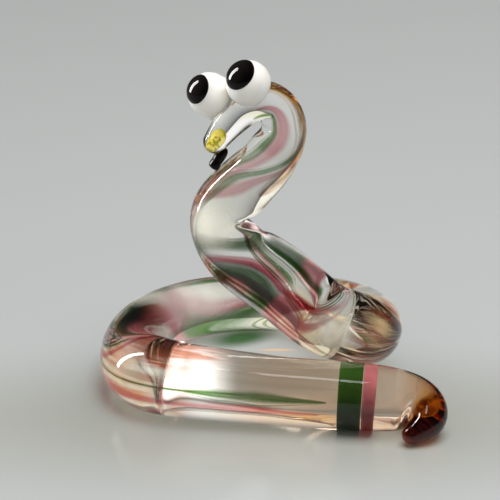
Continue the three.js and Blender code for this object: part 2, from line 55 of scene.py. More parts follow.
# The coil's centre in the frame, and the rod's route round it, in millimetres
COIL_CENTRE = np.array([-2.594, 0.263, 0.0])
COIL_DEGREES = (183.0, -18.0)
COIL_LIFTS = (0.0, 0.0, 0.0, 0.2, 1.0, 2.4, 4.55)
FRONT_LEFT_DEGREES = 216.0
HOOK_DEGREES = (60.0, 10.0, -40.0, -88.0)
CROSSING_LEAN_DEGREES = 51.0
RISE_STEPS = (
    (-6.0, 0.8, 4.9),
    (-11.3, 0.8, 9.1),
    (-13.0, 1.5, 13.4),
    (-10.75, 1.7, 16.8),
    (-7.25, 2.3, 20.3),
    (-5.35, 3.2, 24.5),
    (-7.0, 3.0, 27.8),
    (-9.9, 1.5, 27.9),
    (-12.1, -0.1, 26.1),
    (-13.8, -1.4, 24.1),
)

# How finely the route is followed, and how the glass gives way on the inside of a tight bend
CURVE_STEPS = 40
SPINE_STEPS = 600
SMOOTHING_PASSES = 40
TWIST_PASSES = 200
WINDING_PASSES = 20
CREASE_SHARE = 0.8
CREASE_POWER = 2.5
STRAIGHTEST = 1e-6
FOOT_ROUNDING = 0.1

# How far the threads have turned round the rod: place along it in millimetres, degrees
TWIST = (
    (18.8, -34.0), (33.0, -34.0), (45.0, -40.0), (51.0, -20.0), (57.5, 23.0), (64.0, 53.0), (73.5, 54.0),
    (78.5, 66.0), (84.5, 75.0), (112.0, 232.0), (121.0, 231.0), (128.0, 231.0), (130.0, 246.0),
    (134.0, 316.0), (137.6, 344.0), (142.0, 367.0), (145.0, 377.0), (149.0, 384.0), (152.0, 400.0),
)

# Turns that a thread makes of its own on the shoulder and low neck, in the same way
WINDINGS = {
    "green_thread_a": (
        (126.0, 0.0), (131.0, -55.0), (137.4, -104.0), (138.7, -98.0), (141.6, -77.0), (143.3, -56.0),
        (146.0, -40.0),
    ),
    "pink_thread_a": (
        (121.0, 0.0), (128.0, -12.0), (131.0, -54.0), (133.3, -72.0), (135.3, -55.0), (136.8, -47.0),
        (138.6, -51.0), (141.0, -39.0), (142.5, -13.0),
    ),
    "pink_thread_b": ((138.0, 0.0), (144.0, 14.0)),
}
NO_WINDING = ((0.0, 0.0),)


def length(description, millimetres):
    """A length that the user can change, given here in millimetres."""
    return FloatProperty(description=description, default=millimetres * MM, unit="LENGTH", precision=5)


def colour(description, red, green, blue):
    """A linear colour that the user can change."""
    return FloatVectorProperty(description=description, default=(red, green, blue), subtype="COLOR",
                               min=0.0, max=1.0)


def power(description, watts):
    """The power of a lamp, which the user can change."""
    return FloatProperty(description=description, default=watts, subtype="POWER")


class RodSizes(bpy.types.PropertyGroup):
    """Half widths of the rod from the tail's nub to the snout."""

    tail_tip: length("Radius of the nub that ends the tail", 1.25)
    tail: length("Radius where the amber tail meets the clear rod", 4.1)
    rod: length("Radius of the rod in the coil", 4.4)
    left: length("Radius where the front leg starts to bend", 5.0)
    rear: length("Radius at the back of the coil", 3.8)
    swell: length("Radius where the rod rises over itself", 4.75)
    shoulder: length("Radius at the shoulder's bend", 4.25)
    neck: length("Radius half way up the neck", 3.5)
    crest: length("Radius at the top of the neck", 2.75)
    head: length("Radius under the eyes", 2.6)
    snout: length("Radius of the snout's round end", 1.5)


class RouteSizes(bpy.types.PropertyGroup):
    """Sizes of the coil that the rod follows."""

    coil: length("Radius of the coil at the rod's centre", 15.2)
    depth: length("How far the rod's centre runs out behind the coil's centre", 17.5)
    foot: length("Depth of glass that settled flat on the bench", 0.3)
    front_x: length("Place of the front leg's middle", 3.0)
    front_tuck: length("How far the front leg's middle is drawn in", 2.2)
    left_flare: length("How far the front leg's left end stands out of the coil", 0.2)
    tail_root: length("Place where the tail starts to hook", 17.8)
    tail_flare: length("How far the tail root stands out of the coil", 0.5)
    tail_lift: length("Space under the hooked tail", 0.25)
    tail_joint: length("Length of amber glass along the tail", 7.0)
    hook: length("Radius of the tail's hook", 2.4)
    hook_lead: length("Straight run before the hook", 2.2)
    crossing_x: length("Place where the rise passes over the front leg", 9.5)
    crossing_gap: length("Space between the two rods where they cross", 0.9)


class ThreadSizes(bpy.types.PropertyGroup):
    """Sizes of the coloured threads and bands under the clear skin."""

    cover: length("Clear glass over a thread", 0.1)
    thickness: length("Thickness of a thread", 0.3)
    taper: length("Length over which a thread thins out at its ends", 9.0)
    band_start: length("Place of the first band along the tail", 11.4)
    pink_band: length("Width of the pink tail band", 1.55)
    band_space: length("Clear glass between the two bands", 0.15)
    green_band: length("Width of the green tail band", 2.95)
    band_thickness: length("Depth of the bands into the rod", 0.45)


class HeadSizes(bpy.types.PropertyGroup):
    """Sizes of the beads on the head."""

    eye: length("Radius of the white beads", 2.75)
    eye_space: length("Gap between the two beads", 0.4)
    eye_sink: length("How far the beads settled into the head", 0.75)
    eye_from_tip: length("Distance of the beads from the snout's end", 5.0)
    pupil_height: length("How far a black dot stands proud", 0.3)
    core: length("Length of the yellow core in the snout", 3.2)
    tongue: length("Length of the tongue to its fork", 3.2)
    tongue_root: length("Radius of the tongue at the mouth", 1.05)
    tongue_end: length("Radius of the tongue at its fork", 0.8)
    tongue_tip: length("Length of each tip of the fork", 0.9)


class GlassColours(bpy.types.PropertyGroup):
    """Colours of the glass, seen through one thread."""

    clear: colour("Faint tint of the clear rod", 0.96, 0.93, 0.8)
    tan: colour("Warmer cast of the front leg and tail", 1.0, 0.8, 0.66)
    green: colour("Bottle green threads and band", 0.08, 0.21, 0.035)
    pink: colour("Ruby pink threads and band", 0.66, 0.27, 0.31)
    rose: colour("Paler flashes in the pink", 0.75, 0.36, 0.42)
    coral: colour("Where the pink was struck by the flame", 0.58, 0.18, 0.1)
    amber: colour("Amber thread and tail", 0.75, 0.38, 0.06)
    honey: colour("Paler streaks in the right bend", 0.95, 0.68, 0.36)
    rust: colour("Struck streaks in the tight bends", 0.4, 0.11, 0.05)
    brown: colour("Deep brown swirls in the amber", 0.2, 0.05, 0.008)
    yellow: colour("Core of the snout", 0.85, 0.68, 0.1)
    straw: colour("Pale middle of the core", 0.95, 0.85, 0.3)
    olive: colour("Sides and flecks of the core", 0.3, 0.3, 0.03)
    white: colour("Opal eye beads", 0.84, 0.83, 0.8)
    black: colour("Black dots and tongue", 0.001, 0.001, 0.001)


class StageSettings(bpy.types.PropertyGroup):
    """The bench, the lamps and the camera."""

    floor: colour("Pale bench top", 0.5, 0.517, 0.512)
    wall: colour("Pale wall of the room", 0.72, 0.7, 0.66)
    seen_wall: colour("Wall as the clear glass shows it", 0.82, 0.79, 0.62)
    window_wall: colour("Bright part of the wall behind on the left", 1.0, 0.99, 0.96)
    ceiling: colour("Shaded ceiling of the room", 0.3, 0.3, 0.3)
    shadows: colour("Dark of the room in polished surfaces", 0.04, 0.04, 0.04)
    distance: length("Distance of the camera from the snake", 330.0)
    aim_height: length("Height that the camera looks at", 18.14)
    elevation: FloatProperty(description="Angle that the camera looks down by", default=radians(21.0),
                             subtype="ANGLE")
    lens: FloatProperty(description="Focal length of the camera", default=183.9, subtype="DISTANCE_CAMERA")
    overhead: power("Power of the overhead strip lamp", 3.9)
    window: power("Power of the tall lamp on the left", 2.4)
    glint: power("Power of the lamp that glints in the black glass", 14.0)
    streak: power("Power of the small lamp that glints on the tail", 0.12)


def lerp(low, high, share):
    """The value that share of the way from low to high."""
    return low + (high - low) * share


def metres(millimetres):
    """Lengths in metres, from a row of them in millimetres."""
    return tuple(part * MM for part in millimetres)


def unit(vectors):
    """Each vector at length one."""
    vectors = np.asarray(vectors, float)
    return vectors / np.linalg.norm(vectors, axis=-1, keepdims=True)


def round_centre(radius, degrees, height):
    """A point on a level circle round the coil's own centre."""
    return np.array([radius * cos(radians(degrees)), radius * sin(radians(degrees)), height])


def averaged(values, passes):
    """Values smoothed along their row, with both ends held."""
    values = values.copy()
    for _ in range(passes):
        values[1:-1] = (values[:-2] + 2.0 * values[1:-1] + values[2:]) / 4.0
    return values


def spine_knots(scene):
    """The points that the rod's centre passes through, tail first, and its radius at each."""
    rod, route = scene.snake_rod, scene.snake_route
    lying = rod.rod - route.foot
    root = np.array([route.tail_root, -route.coil - route.tail_flare, rod.tail])
    front = np.array([route.front_x, route.front_tuck - route.coil, lying])
    hook = np.array([route.tail_root + route.hook_lead, root[1] - route.hook, 0.0])
    knots = []
    for index, degrees in enumerate(HOOK_DEGREES):
        radius = lerp(rod.tail, rod.tail_tip, (index + 1) / len(HOOK_DEGREES))
        knots.insert(0, (hook + round_centre(route.hook, degrees, radius + route.tail_lift), radius))
    between = (root + front) / 2.0
    between[2] = lying
    knots += [(root, rod.tail), (between, rod.rod), (front, rod.rod)]
    flared = route.coil + route.left_flare
    knots.append((round_centre(flared, FRONT_LEFT_DEGREES, rod.left - route.foot), rod.left))
    last = len(COIL_LIFTS) - 1
    for index, lift in enumerate(COIL_LIFTS):
        degrees = lerp(*COIL_DEGREES, index / last)
        halves = 2.0 * index / last
        thinning = lerp(rod.rod, rod.rear, min(halves, 1.0))
        radius = lerp(thinning, rod.swell, max(halves - 1.0, 0.0))
        at = round_centre(route.coil, degrees, radius - route.foot + lift * MM)
        at[1] *= route.depth / route.coil if at[1] > 0.0 else 1.0
        knots.append((at, radius))
    under = lerp(front, root, (route.crossing_x - front[0]) / (root[0] - front[0]))
    reach = rod.rod + rod.swell + route.crossing_gap
    lean = radians(CROSSING_LEAN_DEGREES)
    over = np.array([route.crossing_x, under[1] + reach * cos(lean), lying + reach * sin(lean)])
    knots.append((over, rod.swell))
    risen = (rod.swell, (rod.swell + rod.shoulder) / 2.0, rod.shoulder, (rod.shoulder + rod.neck) / 2.0,
             rod.neck, (rod.neck + rod.crest) / 2.0, rod.crest, rod.head, (rod.head + rod.snout) / 2.0,
             rod.snout)
    for step, radius in zip(RISE_STEPS, risen):
        knots.append((over + np.array(step) * MM, radius))
    return np.array([at for at, _ in knots]), np.array([radius for _, radius in knots])


def through(points, steps):
    """A centripetal curve through the points, with that many steps between each pair."""
    ends = (2.0 * points[0] - points[1], 2.0 * points[-1] - points[-2])
    padded = np.vstack([ends[0], points, ends[1]])
    curve = []
    for before, start, end, after in zip(padded, padded[1:], padded[2:], padded[3:]):
        gaps = [np.sqrt(np.linalg.norm(b - a)) for a, b in ((before, start), (start, end), (end, after))]
        straight = (end - start) / gaps[1]
        leave = (start - before) / gaps[0] - (end - before) / (gaps[0] + gaps[1]) + straight
        arrive = straight - (after - start) / (gaps[1] + gaps[2]) + (after - end) / gaps[2]
        leave, arrive = leave * gaps[1], arrive * gaps[1]
        for step in range(steps):
            t = step / steps
            curve.append(start + leave * t + (3.0 * (end - start) - 2.0 * leave - arrive) * t ** 2
                         + (2.0 * (start - end) + leave + arrive) * t ** 3)
    return np.array(curve + [points[-1]])


class Spine:
    """The rod's centre line, with its radius, bend and the directions round it, all sampled evenly."""

    def __init__(self, scene):
        points, radii = spine_knots(scene)
        curve = through(points, CURVE_STEPS)
        knot_radii = np.interp(np.linspace(0, len(points) - 1, len(curve)), range(len(points)), radii)
        run = self.distances(curve)
        even = np.linspace(0.0, run[-1], SPINE_STEPS + 1)
        centre = np.stack([np.interp(even, run, curve[:, axis]) for axis in range(3)], 1)
        self.centre = averaged(centre, SMOOTHING_PASSES)
        self.radius = averaged(np.interp(even, run, knot_radii), SMOOTHING_PASSES)
        self.along = self.distances(self.centre)
        self.length = self.along[-1]
        self.tangent = unit(np.gradient(self.centre, self.along, axis=0))
        self.bend = np.gradient(self.tangent, self.along, axis=0)
        self.first = self.carried(np.array([0.0, 0.0, 1.0]))
        self.second = np.cross(self.tangent, self.first)
        self.twist = self.turns(TWIST, TWIST_PASSES)
        self.shift = COIL_CENTRE * MM

    def turns(self, rows, passes):
        """Turns round the rod, smoothed along the spine."""
        places, degrees = zip(*rows)
        return averaged(np.interp(self.along, metres(places), np.radians(degrees)), passes)

    def winding(self, name):
        """Turns of a thread's own, along the spine."""
        return self.turns(WINDINGS.get(name, NO_WINDING), WINDING_PASSES)

    @staticmethod
    def distances(points):
        """Distance along a row of points to each of them."""
        return np.concatenate([[0.0], np.cumsum(np.linalg.norm(np.diff(points, axis=0), axis=1))])

    def carried(self, normal):
        """A direction carried along the spine with no twist of its own."""
        normals = []
        for tangent in self.tangent:
            normal = unit(normal - tangent * (normal @ tangent))
            normals.append(normal)
        return np.array(normals)

    def at(self, values, along):
        """One of the spine's rows, read at any places along it."""
        if values.ndim == 1:
            return np.interp(along, self.along, values)
        return np.stack([np.interp(along, self.along, values[:, axis]) for axis in range(3)], -1)

    def skin(self, along, angle, depth=0.0, share=1.0):
        """Points under the rod's skin; places past either end lie on its round end."""
        along, angle = np.broadcast_arrays(np.asarray(along, float), angle)
        past = along - np.clip(along, 0.0, self.length)
        radius = self.at(self.radius, along) - depth
        ring = np.sqrt(np.maximum(radius ** 2 - past ** 2, 0.0)) * share
        centre = self.at(self.centre, along) + unit(self.at(self.tangent, along)) * past[..., None]
        first, second = self.at(self.first, along), self.at(self.second, along)
        offset = ring[..., None] * (np.cos(angle)[..., None] * first + np.sin(angle)[..., None] * second)
        bend = self.at(self.bend, along)
        curvature = np.maximum(np.linalg.norm(bend, axis=-1), STRAIGHTEST)
        inward = np.maximum(np.sum(offset * bend, axis=-1) / curvature, 0.0)
        limit = CREASE_SHARE / curvature
        pressed = inward / (1.0 + (inward / limit) ** CREASE_POWER) ** (1.0 / CREASE_POWER)
        points = centre + offset + ((pressed - inward) / curvature)[..., None] * bend
        above = points[..., 2] - depth
        points[..., 2] = depth + (above + np.hypot(above, FOOT_ROUNDING * MM)) / 2.0
        return points + self.shift


def start_piece(name):
    """Takes the new primitive in hand under its name."""
    piece = bpy.context.object
    piece.name = name
    piece.data.name = name
    return piece


def clear_selection():
    """Nothing is selected, so that the next operators act on the new piece alone."""
    bpy.ops.object.select_all(action="DESELECT")


@contextmanager
def editing(select=None):
    """Edit mode for the piece in hand, with all or nothing of it selected first where that is asked for."""
    bpy.ops.object.mode_set(mode="EDIT")
    if select:
        bpy.ops.mesh.select_all(action=select)
    yield
    bpy.ops.object.mode_set(mode="OBJECT")


def mesh_points(piece):
    """The piece's vertices as rows of numbers."""
    points = np.empty(len(piece.data.vertices) * 3)
    piece.data.vertices.foreach_get("co", points)
    return points.reshape(-1, 3)


def place_points(piece, points):
    """Moves each vertex to its place, with the object itself at the origin."""
    piece.data.vertices.foreach_set("co", np.asarray(points, float).ravel())
    piece.location = (0.0, 0.0, 0.0)
    piece.data.update()


def add_tube(name, sides, rings):
    """An open cylinder cut into rings, to be laid along the rod; gives each vertex's ring and angle."""
    clear_selection()
    bpy.ops.mesh.primitive_cylinder_add(vertices=sides, radius=1.0, depth=2.0, end_fill_type="NOTHING")
    tube = start_piece(name)
    with editing("DESELECT"):
        bpy.ops.mesh.select_mode(type="EDGE")
    heights = mesh_points(tube)[:, 2]
    for edge in tube.data.edges:
        edge.select = bool(abs(heights[edge.vertices[0]] - heights[edge.vertices[1]]) > 1.0)
    with editing():
        bpy.ops.mesh.subdivide_edgering(number_cuts=rings - 2, smoothness=0.0)
        bpy.ops.mesh.select_mode(type="VERT")
    points = mesh_points(tube)
    ring = np.empty(len(points), int)
    ring[np.argsort(points[:, 2])] = np.arange(len(points)) // sides
    return tube, ring, np.arctan2(points[:, 1], points[:, 0])


def note_chart(piece, along, turn):
    """Notes at each vertex how far along the rod and which way round it lies."""
    rows = np.stack([along / MM, np.cos(turn), np.sin(turn)], 1)
    piece.data.attributes.new(CHART, "FLOAT_VECTOR", "POINT").data.foreach_set("vector", rows.ravel())


def close_poles():
    """Merges the rings of the piece in hand that were drawn together to a point."""
    with editing("SELECT"):
        bpy.ops.mesh.remove_doubles(threshold=POLE_GAP)


def turn_outwards():
    """All faces of the piece in hand point outwards."""
    with editing("SELECT"):
        bpy.ops.mesh.normals_make_consistent(inside=False)


def round_end(radius, count):
    """Distances past the end of a rod for the rings of its round end, from the rod to the pole."""
    return radius * np.sin(np.linspace(0.0, pi / 2.0, count + 1)[1:])


def shape_with(piece, kind, **settings):
    """Shapes the piece in hand with a modifier, and applies it."""
    modifier = piece.modifiers.new(kind.title(), kind)
    for name, value in settings.items():
        setattr(modifier, name, value)
    bpy.ops.object.modifier_apply(modifier=modifier.name)


def solidify(piece, thickness):
    """Gives a sheet its thickness, inwards from its outer face."""
    shape_with(piece, "SOLIDIFY", thickness=thickness, offset=-1.0)


def finish_piece(piece, material, slot, *nodes):
    """Smooths a piece, gives it its glass, and lets it stand for its solids in the frame."""
    piece.data.materials.append(material)
    clear_selection()
    piece.select_set(True)
    bpy.context.view_layer.objects.active = piece
    bpy.ops.object.shade_smooth()
    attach(piece, "root")
    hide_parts(*nodes)


WHITE = (1.0, 1.0, 1.0)


class Nodes:
    """The nodes of a material or of the world, added and joined in short lines."""

    def __init__(self, owner):
        self.owner = owner
        self.tree = owner.node_tree
        self.tree.nodes.clear()
        self.output = self.add("OutputWorld" if isinstance(owner, bpy.types.World) else "OutputMaterial")

    @classmethod
    def material(cls, name):
        """The nodes of a new material."""
        made = bpy.data.materials.new(name)
        made.use_nodes = True
        return cls(made)

    def add(self, kind, **inputs):
        """A shader node with values or links in its named inputs."""
        node = self.tree.nodes.new("ShaderNode" + kind)
        for name, value in inputs.items():
            self.set(node, name.replace("_", " "), value)
        return node

    def set(self, node, name, value):
        """Links an input to another node's output, or sets it; a colour gets its alpha here."""
        socket = node.inputs[int(name)] if name.isdigit() else node.inputs[name]
        if isinstance(value, bpy.types.NodeSocket):
            self.tree.links.new(value, socket)
        else:
            socket.default_value = (*value, 1.0) if socket.type == "RGBA" else value

    def finish(self, shader):
        """Puts a shader on the surface, and gives the material or the world."""
        self.set(self.output, "Surface", shader.outputs[0])
        return self.owner

    def math(self, operation, first, second=0.0):
        """One sum of two numbers."""
        node = self.add("Math", **{"0": first, "1": second})
        node.operation = operation
        return node.outputs[0]

    def times(self, first, second):
        """The product of two numbers."""
        return self.math("MULTIPLY", first, second)

    def most(self, first, second):
        """The larger of two numbers."""
        return self.math("MAXIMUM", first, second)

    def apart(self, value, middle):
        """How far a number is from a middle one."""
        return self.math("ABSOLUTE", self.math("SUBTRACT", value, middle))

    def vector(self, operation, *vectors):
        """The outputs of one sum of vectors."""
        node = self.add("VectorMath", **{str(index): each for index, each in enumerate(vectors)})
        node.operation = operation
        return node.outputs

    def part(self, place, axis):
        """One part of a vector."""
        return self.add("SeparateXYZ", Vector=place).outputs[axis]

    def scaled(self, place, scale):
        """Places stretched by a scale."""
        return self.add("Mapping", Vector=place, Scale=scale).outputs["Vector"]

    def smooth(self, value, low, high, to_low=0.0, to_high=1.0):
        """A soft step from one value to another."""
        node = self.add("MapRange", Value=value, From_Min=low, From_Max=high, To_Min=to_low, To_Max=to_high)
        node.interpolation_type = "SMOOTHSTEP"
        return node.outputs["Result"]

    def fall(self, value, low, high, strength=1.0):
        """A soft step down to nought."""
        return self.smooth(value, low, high, strength, 0.0)

    def blend(self, share, first, second):
        """A colour between two colours."""
        node = self.add("Mix")
        node.data_type = "RGBA"
        for name, value in (("0", share), ("6", first), ("7", second)):
            self.set(node, name, value)
        return node.outputs[2]

    def noise(self, place, scale, detail, distortion=0.0):
        """A soft random pattern between nought and one."""
        node = self.add("TexNoise", Vector=place, Scale=scale, Detail=detail, Distortion=distortion)
        return node.outputs["Fac"]

    def pattern(self, place, noise, step):
        """A soft step cut from a random pattern."""
        return self.smooth(self.noise(place, *noise), *step)

    def place(self, kind="Object"):
        """Places on the piece, in metres, or another kind of its places."""
        return self.add("TexCoord").outputs[kind]

    def facing(self, blend):
        """How far a place is turned away from the eye."""
        return self.add("LayerWeight", Blend=blend).outputs["Facing"]

    def mix(self, share, first, second):
        """A shader between two shaders."""
        return self.add("MixShader", **{"0": share, "1": first.outputs[0], "2": second.outputs[0]})

    def glass(self, tint, shade, ior, clearness=1.0, painted_glow=0.0, painted_glow_colour=WHITE):
        """Glass that lamps shine through, with its tint in its shadow, and a painted glow of diffuse colour
        mixed in.
        """
        body = self.add("BsdfPrincipled", Base_Color=tint, Roughness=0.0, IOR=ior,
                        Transmission_Weight=clearness)
        # Painted glow: diffuse colour mixed into the glass, standing in for light that it would gather
        body = self.mix(painted_glow, body, self.add("BsdfDiffuse", Color=painted_glow_colour))
        in_shadow = self.add("LightPath").outputs["Is Shadow Ray"]
        return self.finish(self.mix(in_shadow, body, self.add("BsdfTransparent", Color=shade)))


def shaded(rgb, shares):
    """A colour made darker or paler by a share, or by a share for each of its parts."""
    return tuple(np.multiply(rgb, shares))


# Random patterns below are given by scale, detail and distortion. Soft steps are given by their two ends,
# and by what they run from and to where that isn't nought and one.
GLASS_IOR = 1.5
MATCHED_IOR = 1.0
ROD_SHADE = (0.86, 0.85, 0.8)
CORDS = (75.0, 2.0, 0.4)
STRAW_STEP = (0.42, 0.64)

# Soft edges of the tan cast: it fills the near side, right of the left bend, below the rise, in millimetres
TAN_FRONT = (-9.0, -5.0)
TAN_LEFT = (-9.0, 0.0)
TAN_TOP = (8.6, 9.4)

# Runs of the rod with streaks of struck colour: where they come in and where they are gone, in millimetres,
# and their strength
STRUCK_RUNS = ((33.0, 39.0, 53.0, 60.0, 0.9), (80.0, 86.0, 96.0, 100.0, 1.0))
STRUCK_FINENESS = (0.07, 1.7, 1.7)
STRUCK_STREAKS = (1.0, 2.0, 0.6)
STRUCK_STEP = (0.38, 0.54)
STRUCK_PAINTED_GLOW_STEP = (0.0, 0.5)
HUE_STREAKS = (1.7, 1.0)
HUE_STEP = (0.4, 0.6)

# Stains of struck colour on the two bends: middle and reach along the rod in millimetres, direction and
# half width round it in degrees
STAINS = (
    (38.0, 7.0, 66.0, 44.0),
    (45.0, 6.0, 12.0, 44.0),
    (41.0, 4.5, 350.0, 34.0),
    (106.5, 6.5, 100.0, 100.0),
    (35.0, 7.0, 70.0, 30.0),
)
STAIN_SOFTNESS = 3.0
STAIN_FINENESS = (0.12, 5.0, 5.0)
STAIN_STREAKS = (1.0, 2.0, 0.4)
STAIN_STEP = (0.35, 0.6, 0.4, 1.0)

# Painted glows, diffuse white mixed into the clear glass where it would gather light: middle and reach in
# millimetres, strength
PAINTED_GLOWS = (
    ((-7.3, -9.9, 25.0), 4.5, 0.8),
    ((9.7, -8.5, 10.2), 4.0, 0.6),
    ((-7.1, -8.0, 40.0), 3.5, 0.6),
    ((14.0, -9.0, 10.7), 4.0, 0.5),
    ((-15.9, 8.7, 8.1), 5.0, 0.3),
    ((-10.7, 11.2, 6.7), 6.0, 0.45),
    ((-7.1, 13.1, 5.4), 4.0, 0.3),
    ((1.4, -7.6, 36.7), 4.5, 0.3),
    ((10.6, 6.4, 10.5), 4.0, 0.35),
    ((7.9, -12.2, 11.7), 4.5, 0.5),
    ((-14.7, -13.4, 7.7), 4.0, 0.5),
    ((-18.9, -10.5, 7.3), 4.0, 0.4),
)
PAINTED_GLOW_STEP = (0.3, 0.6, 0.5, 1.0)


def clear_glass(colours):
    """Clear rod with straw clouds, a tan cast in the front leg, struck colour in the tight bends, and painted
    glows.
    """
    nodes = Nodes.material("clear_glass")
    place = nodes.place()
    cords = nodes.noise(place, *CORDS)
    straw = nodes.blend(nodes.smooth(cords, *STRAW_STEP), WHITE, colours.clear)
    near = nodes.fall(nodes.part(place, "Y"), *metres(TAN_FRONT))
    right = nodes.smooth(nodes.part(place, "X"), *metres(TAN_LEFT))
    low = nodes.fall(nodes.part(place, "Z"), *metres(TAN_TOP))
    tint = nodes.blend(nodes.times(nodes.times(near, right), low), straw, colours.tan)
    struck = nodes.most(struck_share(nodes), stain_share(nodes))
    hue = struck_hue(nodes, colours, nodes.part(place, "X"))
    tint = nodes.blend(struck, tint, hue)
    # Colour of the painted glow: clear, turning to the struck hue in the streaks and stains
    painted_glow_hue = nodes.blend(nodes.smooth(struck, *STRUCK_PAINTED_GLOW_STEP), colours.clear, hue)
    return nodes.glass(tint, ROD_SHADE, GLASS_IOR, painted_glow=glow_share(nodes, place, cords), painted_glow_colour=painted_glow_hue)


def rod_chart(nodes):
    """Places on the rod's skin: millimetres along it and the direction round it."""
    chart = nodes.add("Attribute")
    chart.attribute_name = CHART
    return chart.outputs["Vector"]


def run_share(nodes, along, enter, full, leave, gone):
    """How far a place lies within a run of the rod, with soft ends."""
    return nodes.times(nodes.smooth(along, enter, full), nodes.fall(along, leave, gone))


def struck_share(nodes):
    """How much struck colour lies at a place: drawn-out streaks within their runs."""
    chart = rod_chart(nodes)
    along = nodes.part(chart, "X")
    runs = 0.0
    for *run, strength in STRUCK_RUNS:
        runs = nodes.math("ADD", nodes.times(run_share(nodes, along, *run), strength), runs)
    streaks = nodes.pattern(nodes.scaled(chart, STRUCK_FINENESS), STRUCK_STREAKS, STRUCK_STEP)
    return nodes.times(runs, streaks)


def stain_share(nodes):
    """How much struck colour lies in the stains of the bends, streaked along the rod."""
    chart = rod_chart(nodes)
    along = nodes.part(chart, "X")
    total = 0.0
    for middle, reach, degrees, half in STAINS:
        way = (0.0, cos(radians(degrees)), sin(radians(degrees)))
        facing = nodes.vector("DOT_PRODUCT", chart, way)["Value"]
        wide = nodes.smooth(facing, cos(radians(half)), cos(radians(half / STAIN_SOFTNESS)))
        long = nodes.fall(nodes.apart(along, middle), reach / STAIN_SOFTNESS, reach)
        total = nodes.most(nodes.times(wide, long), total)
    streaks = nodes.pattern(nodes.scaled(chart, STAIN_FINENESS), STAIN_STREAKS, STAIN_STEP)
    return nodes.times(total, streaks)


def struck_hue(nodes, colours, rightward):
    """Rust that turns to coral along the streaks of the left bend, and to honey in the right one."""
    bright = nodes.blend(nodes.smooth(rightward, -MM, MM), colours.coral, colours.honey)
    streaks = nodes.pattern(nodes.scaled(rod_chart(nodes), STRUCK_FINENESS), HUE_STREAKS, HUE_STEP)
    return nodes.blend(streaks, colours.rust, bright)


def glow_share(nodes, place, cords):
    """How strongly a place gets the painted glow that stands in for gathered light."""
    total = 0.0
    for middle, reach, strength in PAINTED_GLOWS:
        gap = nodes.vector("DISTANCE", place, metres(middle))["Value"]
        total = nodes.math("ADD", nodes.fall(gap, 0.0, reach * MM, strength), total)
    return nodes.times(total, nodes.smooth(cords, *PAINTED_GLOW_STEP))


# Where a thread parts into two strands, and where green is flushed with pink, along the rod in millimetres:
# where that comes in, is full, starts to leave and is gone
PARTED_RUN = (106.0, 112.0, 131.0, 136.0)
FLUSH_RUN = (112.0, 114.0, 119.0, 120.5)

# A whole thread and a strand of a parted one, in shares of the width: middle, and where the colour is full
# and gone, from there
THREAD_MIDDLE = 0.5
WHOLE_STRAND = (0.0, 0.12, 0.42)
PARTED_STRAND = (0.27, 0.08, 0.19)
PARTED_DEPTH = 0.8

# Runs where a thread is drawn out faint, in the same way, with the share of its colour that is left
FAINT_RUNS = ((77.0, 83.0, 107.0, 113.0, 0.12), (131.0, 134.0, 141.5, 143.5, 0.7))
STREAK_LENGTHS = 9.0
FINE_STREAKS = (1.0, 3.0, 0.3)
FINE_STEP = (0.25, 0.6, 0.65, 1.0)
FLASHES = (0.45, 1.0)
FLASH_STEP = (0.4, 0.62)
HAIRLINE_PLACE = 0.93
HAIRLINE_STEP = (0.01, 0.035)


def thread_glass(name, deep, flash, flush, streaks, hairline):
    """Coloured glass in fine streaks, thinning out to clear at its sides, with a hairline beside it."""
    nodes = Nodes.material(name)
    sheet = nodes.place("UV")
    along, across = nodes.part(sheet, "X"), nodes.part(sheet, "Y")
    rod_place = nodes.part(rod_chart(nodes), "X")
    parted = run_share(nodes, rod_place, *PARTED_RUN)
    strand = [nodes.smooth(parted, 0.0, 1.0, *ends) for ends in zip(WHOLE_STRAND, PARTED_STRAND)]
    side = nodes.fall(nodes.apart(nodes.apart(across, THREAD_MIDDLE), strand[0]), *strand[1:])
    drawn = nodes.add("CombineXYZ", X=nodes.times(along, STREAK_LENGTHS), Y=nodes.times(across, streaks))
    drawn = drawn.outputs["Vector"]
    thickness = nodes.times(side, nodes.pattern(drawn, FINE_STREAKS, FINE_STEP))
    hair = nodes.fall(nodes.apart(across, HAIRLINE_PLACE), *HAIRLINE_STEP, hairline)
    thickness = nodes.most(thickness, hair)
    for *run, left in FAINT_RUNS:
        faint = nodes.smooth(run_share(nodes, rod_place, *run), 0.0, 1.0, 1.0, left)
        thickness = nodes.times(thickness, faint)
    hue = nodes.blend(nodes.pattern(drawn, FLASHES, FLASH_STEP), deep, flash)
    hue = nodes.blend(run_share(nodes, rod_place, *FLUSH_RUN), hue, flush)
    twice = nodes.vector("MULTIPLY", hue, hue)["Vector"]
    hue = nodes.blend(nodes.times(parted, PARTED_DEPTH), hue, twice)
    tint = nodes.blend(thickness, WHITE, hue)
    return nodes.glass(tint, tint, MATCHED_IOR)


BAND_CLOUD = (400.0, 3.0, 0.4)
BAND_STEP = (0.35, 0.7)
BAND_CLEARNESS = 0.45
BAND_PALER = 1.25


def band_glass(name, hue, depth):
    """Dense coloured glass wrapped round the tail, a little uneven."""
    nodes = Nodes.material(name)
    uneven = nodes.pattern(nodes.place(), BAND_CLOUD, BAND_STEP)
    deep = shaded(hue, depth)
    tint = nodes.blend(uneven, deep, shaded(deep, BAND_PALER))
    return nodes.glass(tint, tint, MATCHED_IOR, clearness=BAND_CLEARNESS)


# The amber gather is full up to here along the tail and gone at here, in millimetres
AMBER_FADE = (4.6, 7.4)
AMBER_SWIRLS = (260.0, 2.0, 2.2)
SWIRL_STEP = (0.5, 0.66)
AMBER_FACING = 0.5
AMBER_SIDE = (0.45, 0.9)


